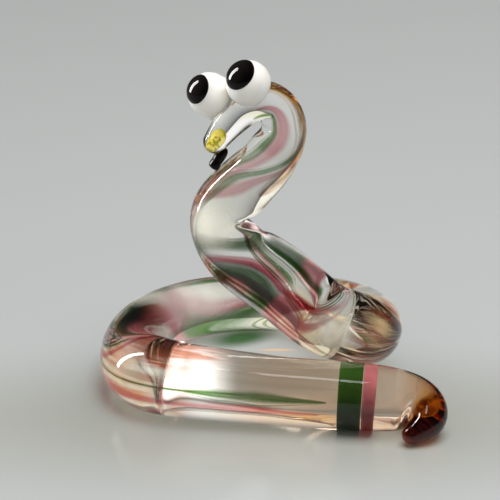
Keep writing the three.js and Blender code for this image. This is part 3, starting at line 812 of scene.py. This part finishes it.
def amber_glass(colours):
    """Amber gather with drawn-out swirls of brown, deeper at its sides, that fades into the clear rod."""
    nodes = Nodes.material("amber_gather")
    along = nodes.part(rod_chart(nodes), "X")
    swirl = nodes.pattern(nodes.place(), AMBER_SWIRLS, SWIRL_STEP)
    side = nodes.smooth(nodes.facing(AMBER_FACING), *AMBER_SIDE)
    hue = nodes.blend(nodes.most(swirl, side), colours.amber, colours.brown)
    tint = nodes.blend(nodes.fall(along, *AMBER_FADE), WHITE, hue)
    return nodes.glass(tint, tint, MATCHED_IOR)


# Opal glass: how far light reaches into it, red, green and blue, is in millimetres
OPAL_CLOUD = (220.0, 3.0, 0.5)
OPAL_STEP = (0.4, 0.7)
OPAL_WARMTH = (0.95, 0.92, 0.87)
OPAL_ROUGHNESS = 0.06
OPAL_SHARE = 0.35
OPAL_REACH = (1.2, 1.1, 0.9)


def opal_glass(colours):
    """Opal white, a little thinner and warmer in cloudy patches, under a fire polish."""
    nodes = Nodes.material("opal_white")
    cloud = nodes.pattern(nodes.place(), OPAL_CLOUD, OPAL_STEP)
    tint = nodes.blend(cloud, colours.white, shaded(colours.white, OPAL_WARMTH))
    return nodes.finish(nodes.add("BsdfPrincipled", Base_Color=tint, Roughness=OPAL_ROUGHNESS, IOR=GLASS_IOR,
                                  Subsurface_Weight=OPAL_SHARE, Subsurface_Radius=metres(OPAL_REACH),
                                  Subsurface_Scale=1.0))


BLACK_IOR = 1.24
BLACK_CLOUD = (500.0, 2.0)
BLACK_THIN = (0.004, 0.003, 0.0025)
BLACK_POLISH = (0.3, 0.7, 0.03, 0.08)


def black_glass(colours):
    """Black glass, polished, with the faintest brown where it thins."""
    nodes = Nodes.material("black_glass")
    cloud = nodes.noise(nodes.place(), *BLACK_CLOUD)
    tint = nodes.blend(cloud, colours.black, BLACK_THIN)
    polish = nodes.smooth(cloud, *BLACK_POLISH)
    return nodes.finish(nodes.add("BsdfPrincipled", Base_Color=tint, Roughness=polish, IOR=BLACK_IOR))


# The yellow core: its inner end and its tip are shares of its length
CORE_IOR = 1.1
CORE_CLOUD = (700.0, 2.0, 1.2)
CORE_PALE_STEP = (0.45, 0.56)
CORE_FLECKS = (900.0, 1.0, 2.0)
FLECK_STEP = (0.54, 0.6)
CORE_INNER = (0.1, 0.4, 0.8)
CORE_TIP = (0.72, 0.86)
CORE_FACING = 0.4
CORE_SIDE = (0.4, 0.9)
CORE_ROUGHNESS = 0.1
CORE_CLEARNESS = 0.5
# The core's emission is a painted glow of its own colour; it is no lamp
CORE_PAINTED_GLOW = 0.3


def yellow_glass(colours):
    """Yellow core, half clear, with green crystals at its inner end, dark olive at its tip, and a painted
    glow.
    """
    nodes = Nodes.material("yellow_core")
    cloud = nodes.pattern(nodes.place(), CORE_CLOUD, CORE_PALE_STEP)
    pale = nodes.blend(cloud, colours.yellow, colours.straw)
    fleck = nodes.pattern(nodes.place(), CORE_FLECKS, FLECK_STEP)
    outwards = nodes.part(nodes.place("UV"), "Y")
    ends = nodes.most(nodes.fall(outwards, *CORE_INNER), nodes.smooth(outwards, *CORE_TIP))
    side = nodes.smooth(nodes.facing(CORE_FACING), *CORE_SIDE)
    tint = nodes.blend(nodes.most(nodes.most(fleck, ends), side), pale, colours.olive)
    return nodes.finish(nodes.add("BsdfPrincipled", Base_Color=tint, Roughness=CORE_ROUGHNESS, IOR=CORE_IOR,
                                  Transmission_Weight=CORE_CLEARNESS, Emission_Color=tint,
                                  Emission_Strength=CORE_PAINTED_GLOW))


class PieceMaker:
    """What the operators of all the pieces share."""

    def execute(self, context):
        self.make(context.scene, Spine(context.scene))
        return {"FINISHED"}


BODY_SIDES = 80
BODY_RINGS = 460
END_RINGS = 10

# The crease inside the waist: its place along the rod and round it, the reach of its melting in millimetres,
# and how strongly and how often it is smoothed
WAIST_PLACE = 132.5
WAIST_DEGREES = 357.0
WAIST_REACH = 3.0
WAIST_SMOOTHING = 0.5
WAIST_PASSES = 25


def melt_waist(rod, spine):
    """Melts the crease inside the waist to a soft fold."""
    middle = spine.skin(WAIST_PLACE * MM, radians(WAIST_DEGREES))
    near = np.linalg.norm(mesh_points(rod) - middle, axis=1) < WAIST_REACH * MM
    with editing("DESELECT"):
        bpy.ops.mesh.select_mode(type="VERT")
    rod.data.vertices.foreach_set("select", near)
    with editing():
        bpy.ops.mesh.vertices_smooth(factor=WAIST_SMOOTHING, repeat=WAIST_PASSES)


class SNAKE_OT_body(PieceMaker, bpy.types.Operator):
    """Draws the clear rod from the tail's nub to the snout"""

    bl_idname = "snake.body"
    bl_label = "Clear rod"

    def make(self, scene, spine):
        tail_end = -round_end(spine.radius[0], END_RINGS)[::-1]
        snout_end = spine.length + round_end(spine.radius[-1], END_RINGS)
        places = np.concatenate([tail_end, np.linspace(0.0, spine.length, BODY_RINGS), snout_end])
        rod, ring, angle = add_tube("clear_rod", BODY_SIDES, len(places))
        place_points(rod, spine.skin(places[ring], angle))
        melt_waist(rod, spine)
        note_chart(rod, places[ring], angle - spine.at(spine.twist, places[ring]))
        close_poles()
        finish_piece(rod, clear_glass(scene.snake_colours), "clear_glass", "body_rod")


# Glass of the threads: slot, material, colours of its body, its flashes and its flush, number of streaks
# across it and strength of its hairline
THREAD_GLASSES = (
    ("green_glass", "green_thread", ("green", "green", "pink"), 5.0, 0.8),
    ("pink_glass", "pink_thread", ("pink", "rose", "pink"), 4.0, 0.0),
    ("amber_glass", "amber_thread", ("amber", "brown", "amber"), 4.0, 0.6),
)

# Threads: name, node, glass, layer under the skin, angle and width round the rod in degrees,
# start and end along it in millimetres
THREADS = (
    ("green_thread_a", "green_stripe_a", "green_glass", 0, 0.0, 24.0, 17.0, 147.0),
    ("pink_thread_a", "pink_stripe_a", "pink_glass", 1, -26.0, 24.0, 18.0, 146.0),
    ("amber_thread", "amber_stripe", "amber_glass", 0, -40.0, 84.0, 138.0, 155.0),
    ("green_thread_b", "green_stripe_b", "green_glass", 0, -130.0, 24.0, 41.0, 154.0),
    ("pink_thread_b", "pink_stripe_b", "pink_glass", 1, -120.0, 24.0, 38.0, 153.0),
)

# How many times as wide as usual each thread is at places along the rod, in millimetres
SPREADS = {
    "green_thread_a": (
        (31.0, 1.2), (35.0, 0.2), (50.0, 0.3), (56.0, 1.0), (78.0, 1.0), (83.0, 0.15),
        (112.0, 0.15), (118.0, 0.9), (125.0, 0.9), (133.0, 0.15), (137.0, 1.4), (146.0, 1.4),
    ),
    "pink_thread_a": (
        (32.0, 1.0), (36.0, 0.5), (40.0, 1.0), (43.0, 2.4), (50.0, 2.4), (58.0, 1.0), (78.0, 1.0),
        (83.0, 0.15), (112.0, 0.2), (118.0, 0.25), (124.0, 0.2), (130.0, 0.3), (133.0, 1.6), (136.0, 2.0),
        (140.0, 1.6), (145.0, 1.6),
    ),
    "amber_thread": ((140.0, 1.0), (147.0, 1.0), (151.0, 0.6)),
    "green_thread_b": (
        (50.0, 0.3), (56.0, 1.0), (78.0, 1.0), (83.0, 0.15), (112.0, 0.2), (114.5, 0.25),
        (117.5, 1.7), (132.0, 1.7), (136.0, 1.2), (150.0, 1.5),
    ),
    "pink_thread_b": (
        (40.0, 1.0), (43.0, 2.4), (50.0, 2.4), (58.0, 1.0), (78.0, 1.0), (83.0, 0.15),
        (109.5, 0.3), (112.5, 0.9), (131.0, 0.9), (135.0, 2.4), (141.0, 2.4), (144.0, 2.9),
    ),
}

# Space between the layers, step along a thread and run over which its width varies, in millimetres
LAYER_SPACE = 0.02
THREAD_STEP = 0.15
UNEVEN_RUN = 11.0
UNEVEN_WIDTH = 0.16
THREAD_ACROSS = 12
THINNEST_END = 0.0004


class SNAKE_OT_threads(PieceMaker, bpy.types.Operator):
    """Lays the coloured threads under the rod's skin, turning round it"""

    bl_idname = "snake.threads"
    bl_label = "Coloured threads"

    def make(self, scene, spine):
        glasses = {}
        for slot, material, hues, streaks, hairline in THREAD_GLASSES:
            hues = [getattr(scene.snake_colours, hue) for hue in hues]
            glasses[slot] = thread_glass(material, *hues, streaks, hairline)
        for name, node, slot, *route in THREADS:
            thread = self.lay(spine, scene.snake_threads, name, *route)
            finish_piece(thread, glasses[slot], slot, node)

    @staticmethod
    def lay(spine, sizes, name, layer, degrees, width, start, end):
        """One thread: a long sheet laid along the rod and thickened."""
        clear_selection()
        start, end = metres((start, end))
        steps = round((end - start) / (THREAD_STEP * MM))
        bpy.ops.mesh.primitive_grid_add(x_subdivisions=steps, y_subdivisions=THREAD_ACROSS, size=2.0,
                                        calc_uvs=True)
        thread = start_piece(name)
        sheet = mesh_points(thread)
        along = lerp(start, end, (sheet[:, 0] + 1.0) / 2.0)
        from_ends = np.minimum(along - start, end - along) / sizes.taper
        thinning = np.sqrt(np.clip(from_ends, THINNEST_END, 1.0))
        uneven = 1.0 + UNEVEN_WIDTH * np.sin(along / (UNEVEN_RUN * MM) * 2.0 * pi + degrees)
        places, shares = zip(*SPREADS[name])
        half = radians(width) / 2.0 * thinning * uneven * np.interp(along, metres(places), shares)
        wound = spine.at(spine.winding(name), along)
        angle = radians(degrees) + spine.at(spine.twist, along) + wound - sheet[:, 1] * half
        depth = sizes.cover + layer * (sizes.thickness + LAYER_SPACE * MM)
        place_points(thread, spine.skin(along, angle, depth))
        note_chart(thread, along, angle)
        solidify(thread, sizes.thickness)
        return thread


# Tail bands, from the tail's end: name, node, glass, colour and how deep it is
BANDS = (
    ("pink_band", "pink_tail_band", "pink_glass", "pink", 1.0),
    ("green_band", "green_tail_band", "green_glass", "green", 0.6),
)
BAND_SIDES = 96
BAND_RINGS = 12

# The direction in which the bands cross the tail, and the share by which they are narrower on its far side
BAND_RUN = unit((0.075, 0.915, -0.4))
BAND_NARROWING = 0.3


class SNAKE_OT_tail_bands(PieceMaker, bpy.types.Operator):
    """Wraps the pink and green bands round the tail"""

    bl_idname = "snake.tail_bands"
    bl_label = "Tail bands"

    def make(self, scene, spine):
        sizes = scene.snake_threads
        start = sizes.band_start
        for name, node, slot, hue, depth in BANDS:
            width = getattr(sizes, name)
            band = self.wrap(spine, sizes, name, start, width)
            finish_piece(band, band_glass(name, getattr(scene.snake_colours, hue), depth), slot, node)
            start += width + sizes.band_space

    @staticmethod
    def wrap(spine, sizes, name, start, width):
        """One band: a sleeve round the tail, thickened inwards."""
        band, ring, angle = add_tube(name, BAND_SIDES, BAND_RINGS)
        tangent = spine.at(spine.tangent, start)
        square = unit(tangent - BAND_RUN * (tangent @ BAND_RUN))
        middle = np.full(len(ring), start + width / 2.0)
        offset = spine.skin(middle, angle, sizes.cover) - spine.skin(middle, angle, share=0.0)
        behind = np.clip(unit(offset) @ BAND_RUN, 0.0, 1.0)
        along = middle + width * (ring / (BAND_RINGS - 1) - 0.5) * (1.0 - BAND_NARROWING * behind)
        lean = offset @ square / (tangent @ square)
        place_points(band, spine.skin(along - lean, angle, sizes.cover))
        solidify(band, sizes.band_thickness)
        return band


# The amber gather: cover, slant of its inner end and wall, in millimetres
GATHER_COVER = 0.16
GATHER_SLANT = 2.4
GATHER_WALL = 0.6
GATHER_SIDES = 64
GATHER_RINGS = 60
SLANT_POWER = 3


class SNAKE_OT_tail_tip(PieceMaker, bpy.types.Operator):
    """Fills the hooked tail with its amber gather"""

    bl_idname = "snake.tail_tip"
    bl_label = "Amber tail"

    def make(self, scene, spine):
        depth = GATHER_COVER * MM
        tail_end = -round_end(spine.radius[0] - depth, END_RINGS)[::-1]
        joint = scene.snake_route.tail_joint
        places = np.concatenate([tail_end, np.linspace(0.0, joint, GATHER_RINGS)])
        gather, ring, angle = add_tube("amber_tail", GATHER_SIDES, len(places))
        along = places[ring]
        lean = np.clip(along / joint, 0.0, 1.0) ** SLANT_POWER * GATHER_SLANT * MM * np.cos(angle - pi)
        place_points(gather, spine.skin(along + lean, angle, depth))
        note_chart(gather, along, angle)
        close_poles()
        solidify(gather, GATHER_WALL * MM)
        finish_piece(gather, amber_glass(scene.snake_colours), "amber_glass", "tail_tip")


# Eye beads: name, node, how far the foot is drawn down and how far it spreads, as shares of the bead
EYES = (
    ("near_eye", "eye_left", 0.06, 0.2),
    ("far_eye", "eye_right", 0.25, 0.6),
)
EYE_SEGMENTS = 64
EYE_RINGS = 40

# The way from the head up to the pair of beads, and along the pair, to the far one
EYE_UP = unit((-0.42, 0.03, 0.91))
EYE_ALONG = unit((-0.82, 0.42, -0.39))


def eye_places(scene, spine):
    """Centre of each bead, near one first, and the middle of the head under them."""
    sizes = scene.snake_head
    along = spine.length - sizes.eye_from_tip
    seat = spine.at(spine.centre, along) + spine.shift
    side = sizes.eye + sizes.eye_space / 2.0
    reach = spine.at(spine.radius, along) + sizes.eye - sizes.eye_sink
    rise = np.sqrt(reach ** 2 - side ** 2)
    return [seat + EYE_UP * rise + EYE_ALONG * side * way for way in (-1.0, 1.0)], seat


def add_ball(name, segments, rings, radius):
    """A ball to be shaped; gives its points."""
    clear_selection()
    bpy.ops.mesh.primitive_uv_sphere_add(segments=segments, ring_count=rings, radius=radius)
    ball = start_piece(name)
    return ball, mesh_points(ball)


def place_round(piece, centre, axis, across, onward, along):
    """Stands a piece on an axis: its points' places across the axis, square to that, and along it."""
    first = unit(np.cross(axis, (0.0, 0.0, 1.0)))
    second = np.cross(first, axis)
    place_points(piece, centre + np.outer(across, first) + np.outer(onward, second) + np.outer(along, axis))
    turn_outwards()


class SNAKE_OT_eyes(PieceMaker, bpy.types.Operator):
    """Sets the two opal beads on the head, each drawn down to a foot where it melted on"""

    bl_idname = "snake.eyes"
    bl_label = "Eye beads"

    def make(self, scene, spine):
        places, seat = eye_places(scene, spine)
        glass = opal_glass(scene.snake_colours)
        for place, (name, node, foot, spread) in zip(places, EYES):
            bead = self.bead(scene.snake_head.eye, place, unit(place - seat), name, foot, spread)
            finish_piece(bead, glass, "white_glass", node)

    @staticmethod
    def bead(radius, place, axis, name, foot, spread):
        """A ball whose underside is drawn towards the head."""
        ball, points = add_ball(name, EYE_SEGMENTS, EYE_RINGS, radius)
        down = np.clip(-points[:, 2] / radius, 0.0, 1.0)
        drawn = points[:, 2] - foot * radius * down ** 2
        wider = 1.0 + spread * down ** 2
        place_round(ball, place, axis, points[:, 0] * wider, points[:, 1] * wider, drawn)
        return ball


# Black dots: name, node, direction that it faces, half angle and where its blunt point lies, in degrees
PUPILS = (
    ("near_pupil", "pupil_left", (-0.54, -0.53, 0.65), 51.0, 75.0),
    ("far_pupil", "pupil_right", (-0.69, -0.56, 0.46), 45.0, 60.0),
)
PUPIL_SEGMENTS = 64
PUPIL_RINGS = 96

# How far the blunt point is drawn out, as a share; how far the rim sinks in, in millimetres; and how sharply
# the point, the swelling and the rim come in
PUPIL_POINT = 0.16
PUPIL_SEAT = 0.12
POINT_POWER = 6
SWELL_POWER = 4
RIM_POWER = 8


class SNAKE_OT_pupils(PieceMaker, bpy.types.Operator):
    """Melts a black dot on to each bead"""

    bl_idname = "snake.pupils"
    bl_label = "Black dots"

    def make(self, scene, spine):
        places, _ = eye_places(scene, spine)
        glass = black_glass(scene.snake_colours)
        for place, (name, node, look, half, point) in zip(places, PUPILS):
            dot = self.dot(scene.snake_head, place, name, unit(look), radians(half), radians(point))
            finish_piece(dot, glass, "black_glass", node)

    @staticmethod
    def dot(sizes, place, name, look, half, point):
        """A cap cut from a ball, swollen in its middle and drawn to a blunt point on one side."""
        cap, _ = add_ball(name, PUPIL_SEGMENTS, PUPIL_RINGS, sizes.eye)
        with editing("SELECT"):
            bpy.ops.mesh.bisect(plane_co=(0.0, 0.0, sizes.eye * cos(half)), plane_no=(0.0, 0.0, 1.0),
                                clear_inner=True, use_fill=False)
        close_poles()
        with editing("SELECT"):
            bpy.ops.mesh.fill_holes(sides=0)
        points = mesh_points(cap)
        polar = np.arccos(np.clip(points[:, 2] / np.linalg.norm(points, axis=1), -1.0, 1.0))
        turn = np.arctan2(points[:, 1], points[:, 0])
        share = np.clip(polar / half, 0.0, 1.0)
        pointing = np.maximum(np.cos(turn - point), 0.0) ** POINT_POWER
        polar = polar * (1.0 + PUPIL_POINT * pointing * share ** 2)
        height = sizes.pupil_height * (1.0 - share ** SWELL_POWER) - PUPIL_SEAT * MM * share ** RIM_POWER
        reach = sizes.eye + height
        flat = np.sin(polar) * reach
        place_round(cap, place, look, flat * np.cos(turn), flat * np.sin(turn), np.cos(polar) * reach)
        return cap


CORE_SEGMENTS = 48
CORE_RINGS = 32

# The core's width as a share of the snout's, and how far it reaches into the snout's round end
CORE_SHARE = 0.42
CORE_NOSE = 0.93


class SNAKE_OT_mouth_bead(PieceMaker, bpy.types.Operator):
    """Sets the yellow core in the end of the snout"""

    bl_idname = "snake.mouth_bead"
    bl_label = "Yellow core"

    def make(self, scene, spine):
        core, points = add_ball("yellow_core", CORE_SEGMENTS, CORE_RINGS, 1.0)
        tip = spine.length + spine.radius[-1] * CORE_NOSE
        along = tip - scene.snake_head.core * (1.0 - points[:, 2]) / 2.0
        share = np.hypot(points[:, 0], points[:, 1]) * CORE_SHARE
        angle = np.arctan2(points[:, 1], points[:, 0])
        inside = np.minimum(along, spine.length)
        centre = spine.skin(along, angle, share=0.0)
        radial = spine.skin(inside, angle) - spine.skin(inside, angle, share=0.0)
        place_points(core, centre + radial * share[:, None])
        turn_outwards()
        finish_piece(core, yellow_glass(scene.snake_colours), "yellow_glass", "mouth_bead")


# The tongue: how far behind the snout's end and how deep in the chin it starts, in millimetres, the ways to
# the chin and down the tongue, and the spread and thickness of its two tips
TONGUE_BACK = 1.7
TONGUE_INSIDE = 0.4
TONGUE_CHIN = np.array([0.75, -0.1, -0.65])
TONGUE_HANG = unit((-0.53, -0.2, -0.82))
FORK_DEGREES = 14.0
TIP_SHARE = 1.1
FORK_SMOOTHING = 0.6
TONGUE_LEVELS = 3


class SNAKE_OT_tongue(PieceMaker, bpy.types.Operator):
    """Pulls the short forked tongue out under the snout"""

    bl_idname = "snake.tongue"
    bl_label = "Tongue"

    def make(self, scene, spine):
        sizes = scene.snake_head
        tangent, radius = spine.tangent[-1], spine.radius[-1]
        chin = unit(TONGUE_CHIN - tangent * (TONGUE_CHIN @ tangent))
        axis = spine.centre[-1] + spine.shift + tangent * (radius - TONGUE_BACK * MM)
        root = axis + chin * radius
        start = root - TONGUE_HANG * TONGUE_INSIDE * MM
        fork = root + TONGUE_HANG * sizes.tongue
        spread = unit(np.cross(TONGUE_HANG, tangent))
        lean = radians(FORK_DEGREES)
        tips = [fork + (TONGUE_HANG * cos(lean) + spread * sin(lean) * way) * sizes.tongue_tip
                for way in (-1.0, 1.0)]
        tongue = self.skeleton([start, (start + fork) / 2.0, fork], tips)
        middle = (sizes.tongue_root + sizes.tongue_end) / 2.0
        tip = sizes.tongue_end * TIP_SHARE
        self.thicken(tongue, (sizes.tongue_root, middle, sizes.tongue_end, tip, tip))
        finish_piece(tongue, black_glass(scene.snake_colours), "black_glass", "tongue")

    @staticmethod
    def skeleton(stem, tips):
        """A line of edges along the tongue that parts at its fork."""
        clear_selection()
        bpy.ops.mesh.primitive_plane_add(size=MM)
        tongue = start_piece("forked_tongue")
        with editing("SELECT"):
            bpy.ops.mesh.select_mode(type="VERT")
            bpy.ops.mesh.merge(type="CENTER")
            bpy.ops.transform.translate(value=tuple(stem[0]))
            for before, after in zip(stem, stem[1:]):
                bpy.ops.mesh.extrude_vertices_move(TRANSFORM_OT_translate={"value": tuple(after - before)})
        for tip in tips:
            for vertex in tongue.data.vertices:
                vertex.select = vertex.index == len(stem) - 1
            with editing():
                bpy.ops.mesh.extrude_vertices_move(TRANSFORM_OT_translate={"value": tuple(tip - stem[-1])})
        return tongue

    @staticmethod
    def thicken(tongue, radii):
        """Round flesh on the skeleton, smoothed."""
        bpy.ops.object.modifier_add(type="SKIN")
        for vertex, radius in zip(tongue.data.skin_vertices[0].data, radii):
            vertex.radius = (radius, radius)
        skin = tongue.modifiers[0]
        skin.branch_smoothing = FORK_SMOOTHING
        bpy.ops.object.modifier_apply(modifier=skin.name)
        shape_with(tongue, "SUBSURF", levels=TONGUE_LEVELS, render_levels=TONGUE_LEVELS)
        turn_outwards()


# Lamps: place in metres, width and height in metres
OVERHEAD_LAMP = ((0.1, -0.05, 0.6), 0.5, 0.4)
STREAK_LAMP = ((-0.095, -0.14, 0.58), 0.12, 0.07)
WINDOW_LAMP = ((-0.44, 0.12, 0.25), 0.06, 0.5)
GLINT_LAMP = ((-0.44, 0.12, 0.25), 0.12, 0.45)
GLINTING = ("near_pupil", "far_pupil", "forked_tongue")

# The bench top: name, size in metres, clouds and how dark they are
BENCH = "bench_top"
BENCH_SIZE = 4.0
BENCH_CLOUD = (12.0, 2.0)
BENCH_DARKER = 0.96
BENCH_ROUGHNESS = 0.2

# Painted pools of light and shade on the bench, in millimetres and degrees: middle, reach, turn, colour and
# glow:
# a wide painted shadow in front of the snake, a painted white pool of light gathered inside the coil, a
# painted green patch of light through the green thread, and a thin warm painted glow. The soft edge is in
# shares of the reach.
PAINTED_POOLS = (
    ((0.0, -13.0), (80.0, 28.0), 0.0, (0.39, 0.395, 0.36), 0.0),
    ((-11.6, 0.0), (8.0, 13.0), 0.0, (1.0, 1.0, 1.0), 1.0),
    ((-3.8, 14.0), (7.0, 4.0), 30.0, (0.014, 0.1, 0.008), 0.02),
    ((1.0, 9.8), (3.4, 0.5), 0.0, (0.8, 0.5, 0.28), 0.1),
)
PAINTED_POOL_EDGE = (0.2, 1.0)
NO_LIGHT = (0.0, 0.0, 0.0)

# The room, by direction: where the wall turns to ceiling, and the two edges of its bright part
ROOM_HEIGHTS = (0.25, 0.8)
GLAZED_LEFT = (-0.85, -0.65)
GLAZED_RIGHT = (-0.1, 0.1)
LIGHT_BOUNCES = 32

# The camera's sensor in millimetres, and the nearest that it sees in metres
SENSOR = 36.0
NEAREST = 0.01


class SNAKE_OT_stage(bpy.types.Operator):
    """Sets the pale bench, the lamps and the camera"""

    bl_idname = "snake.stage"
    bl_label = "Stage"

    def execute(self, context):
        scene = context.scene
        settings = scene.snake_stage
        scene.view_settings.view_transform = "Standard"
        self.light_paths(scene)
        self.floor(settings)
        self.surround(scene, settings)
        self.lamp("overhead_lamp", settings.overhead, *OVERHEAD_LAMP).visible_glossy = False
        window = self.lamp("window_lamp", settings.window, *WINDOW_LAMP)
        window.visible_transmission = False
        self.light_only(window, [piece.name for piece in scene.objects
                                 if piece.type == "MESH" and piece.name != BENCH])
        self.light_only(self.lamp("glint_lamp", settings.glint, *GLINT_LAMP), GLINTING)
        self.light_only(self.lamp("streak_lamp", settings.streak, *STREAK_LAMP), ("clear_rod",))
        self.camera(scene, settings)
        return {"FINISHED"}

    @staticmethod
    def light_paths(scene):
        """Enough bounces for light to pass through all the layers of glass."""
        for name in ("max_bounces", "transmission_bounces", "glossy_bounces", "transparent_max_bounces"):
            setattr(scene.cycles, name, LIGHT_BOUNCES)
        scene.cycles.caustics_reflective = False
        scene.cycles.caustics_refractive = False
        scene.cycles.use_denoising = True

    @staticmethod
    def floor(settings):
        """A wide pale bench top with a soft sheen and painted pools of light and shade, some of them glowing.
        """
        clear_selection()
        bpy.ops.mesh.primitive_plane_add(size=BENCH_SIZE)
        floor = start_piece(BENCH)
        nodes = Nodes.material(BENCH)
        cloud = nodes.noise(nodes.place(), *BENCH_CLOUD)
        tint = nodes.blend(cloud, settings.floor, shaded(settings.floor, BENCH_DARKER))
        light = NO_LIGHT
        # Each painted pool of light or shade tints the bench, and the painted light pools glow through its
        # emission
        for middle, reach, turn, hue, strength in PAINTED_POOLS:
            place = nodes.add("Mapping", Vector=nodes.place(), Rotation=(0.0, 0.0, radians(turn)),
                              Location=(*metres(middle), 0.0), Scale=(*metres(reach), 1.0))
            place.vector_type = "TEXTURE"
            gap = nodes.vector("LENGTH", place.outputs["Vector"])["Value"]
            share = nodes.fall(gap, *PAINTED_POOL_EDGE)
            tint = nodes.blend(share, tint, hue)
            light = nodes.blend(nodes.times(share, strength), light, hue)
        sheen = nodes.add("BsdfPrincipled", Base_Color=tint, Roughness=BENCH_ROUGHNESS, IOR=GLASS_IOR,
                          Emission_Color=light, Emission_Strength=1.0)
        floor.data.materials.append(nodes.finish(sheen))

    @staticmethod
    def surround(scene, settings):
        """A pale room, darker overhead, that polished surfaces show dark."""
        scene.world = bpy.data.worlds.new("room")
        scene.world.use_nodes = True
        nodes = Nodes(scene.world)
        outlook = nodes.place("Generated")
        sideways = nodes.part(outlook, "X")
        height = nodes.smooth(nodes.part(outlook, "Z"), *ROOM_HEIGHTS)
        room = nodes.blend(height, settings.wall, settings.ceiling)
        glazed = nodes.times(nodes.smooth(sideways, *GLAZED_LEFT), nodes.fall(sideways, *GLAZED_RIGHT))
        walls = nodes.blend(glazed, settings.seen_wall, settings.window_wall)
        bright = nodes.blend(height, walls, settings.ceiling)
        path = nodes.add("LightPath")
        refracted = path.outputs["Is Transmission Ray"]
        mirrored = nodes.times(path.outputs["Is Glossy Ray"], nodes.math("SUBTRACT", 1.0, refracted))
        seen = nodes.blend(mirrored, nodes.blend(refracted, room, bright), settings.shadows)
        nodes.finish(nodes.add("Background", Color=seen))

    @staticmethod
    def lamp(name, power, place, width, height):
        """A soft lamp that faces the snake, hidden from the camera itself."""
        clear_selection()
        bpy.ops.object.light_add(type="AREA", location=place)
        lamp = bpy.context.object
        lamp.name = name
        lamp.data.shape = "RECTANGLE"
        lamp.data.size = width
        lamp.data.size_y = height
        lamp.data.energy = power
        lamp.visible_camera = False
        aim = -lamp.location
        lamp.rotation_euler = aim.to_track_quat("-Z", "Y").to_euler()
        return lamp

    @staticmethod
    def light_only(lamp, names):
        """Keeps a lamp to some pieces, as a shade on a stand would."""
        lit = bpy.data.collections.new(lamp.name + "_lights")
        for name in names:
            lit.objects.link(bpy.data.objects[name])
        lamp.light_linking.receiver_collection = lit

    @staticmethod
    def camera(scene, settings):
        """A long lens at the height of someone seated at the bench."""
        aim = COIL_CENTRE * MM + np.array([0.0, 0.0, settings.aim_height])
        away = np.array([0.0, -cos(settings.elevation), sin(settings.elevation)])
        bpy.ops.object.camera_add(location=tuple(aim + away * settings.distance),
                                  rotation=(pi / 2.0 - settings.elevation, 0.0, 0.0))
        camera = bpy.context.object
        camera.data.sensor_width = SENSOR
        camera.data.lens = settings.lens
        camera.data.clip_start = NEAREST
        scene.camera = camera


PIECE_OPERATORS = (
    SNAKE_OT_body,
    SNAKE_OT_threads,
    SNAKE_OT_tail_bands,
    SNAKE_OT_tail_tip,
    SNAKE_OT_eyes,
    SNAKE_OT_pupils,
    SNAKE_OT_mouth_bead,
    SNAKE_OT_tongue,
    SNAKE_OT_stage,
)
SETTINGS = (
    ("snake_rod", RodSizes),
    ("snake_route", RouteSizes),
    ("snake_threads", ThreadSizes),
    ("snake_head", HeadSizes),
    ("snake_colours", GlassColours),
    ("snake_stage", StageSettings),
)


class SNAKE_PT_panel(bpy.types.Panel):
    """Lists the pieces and their sizes in the sidebar"""

    bl_idname = "SNAKE_PT_panel"
    bl_label = "Glass snake"
    bl_space_type = "VIEW_3D"
    bl_region_type = "UI"
    bl_category = "Snake"

    def draw(self, context):
        for operator in PIECE_OPERATORS:
            self.layout.operator(operator.bl_idname)
        for name, group in SETTINGS:
            box = self.layout.box()
            box.label(text=group.__doc__)
            for entry in group.__annotations__:
                text = entry.replace("_", " ").capitalize()
                box.prop(getattr(context.scene, name), entry, text=text)


def register():
    """Registers the settings, the operators and the panel."""
    for name, group in SETTINGS:
        bpy.utils.register_class(group)
        setattr(bpy.types.Scene, name, PointerProperty(type=group))
    for cls in PIECE_OPERATORS + (SNAKE_PT_panel,):
        bpy.utils.register_class(cls)


def unregister():
    """Takes them all out again."""
    for cls in (SNAKE_PT_panel,) + PIECE_OPERATORS[::-1]:
        bpy.utils.unregister_class(cls)
    for name, group in SETTINGS[::-1]:
        delattr(bpy.types.Scene, name)
        bpy.utils.unregister_class(group)


def main():
    """Makes every piece, then sets the stage."""
    register()
    bpy.ops.snake.body()
    bpy.ops.snake.threads()
    bpy.ops.snake.tail_bands()
    bpy.ops.snake.tail_tip()
    bpy.ops.snake.eyes()
    bpy.ops.snake.pupils()
    bpy.ops.snake.mouth_bead()
    bpy.ops.snake.tongue()
    bpy.ops.snake.stage()


if __name__ == "__main__":
    main()
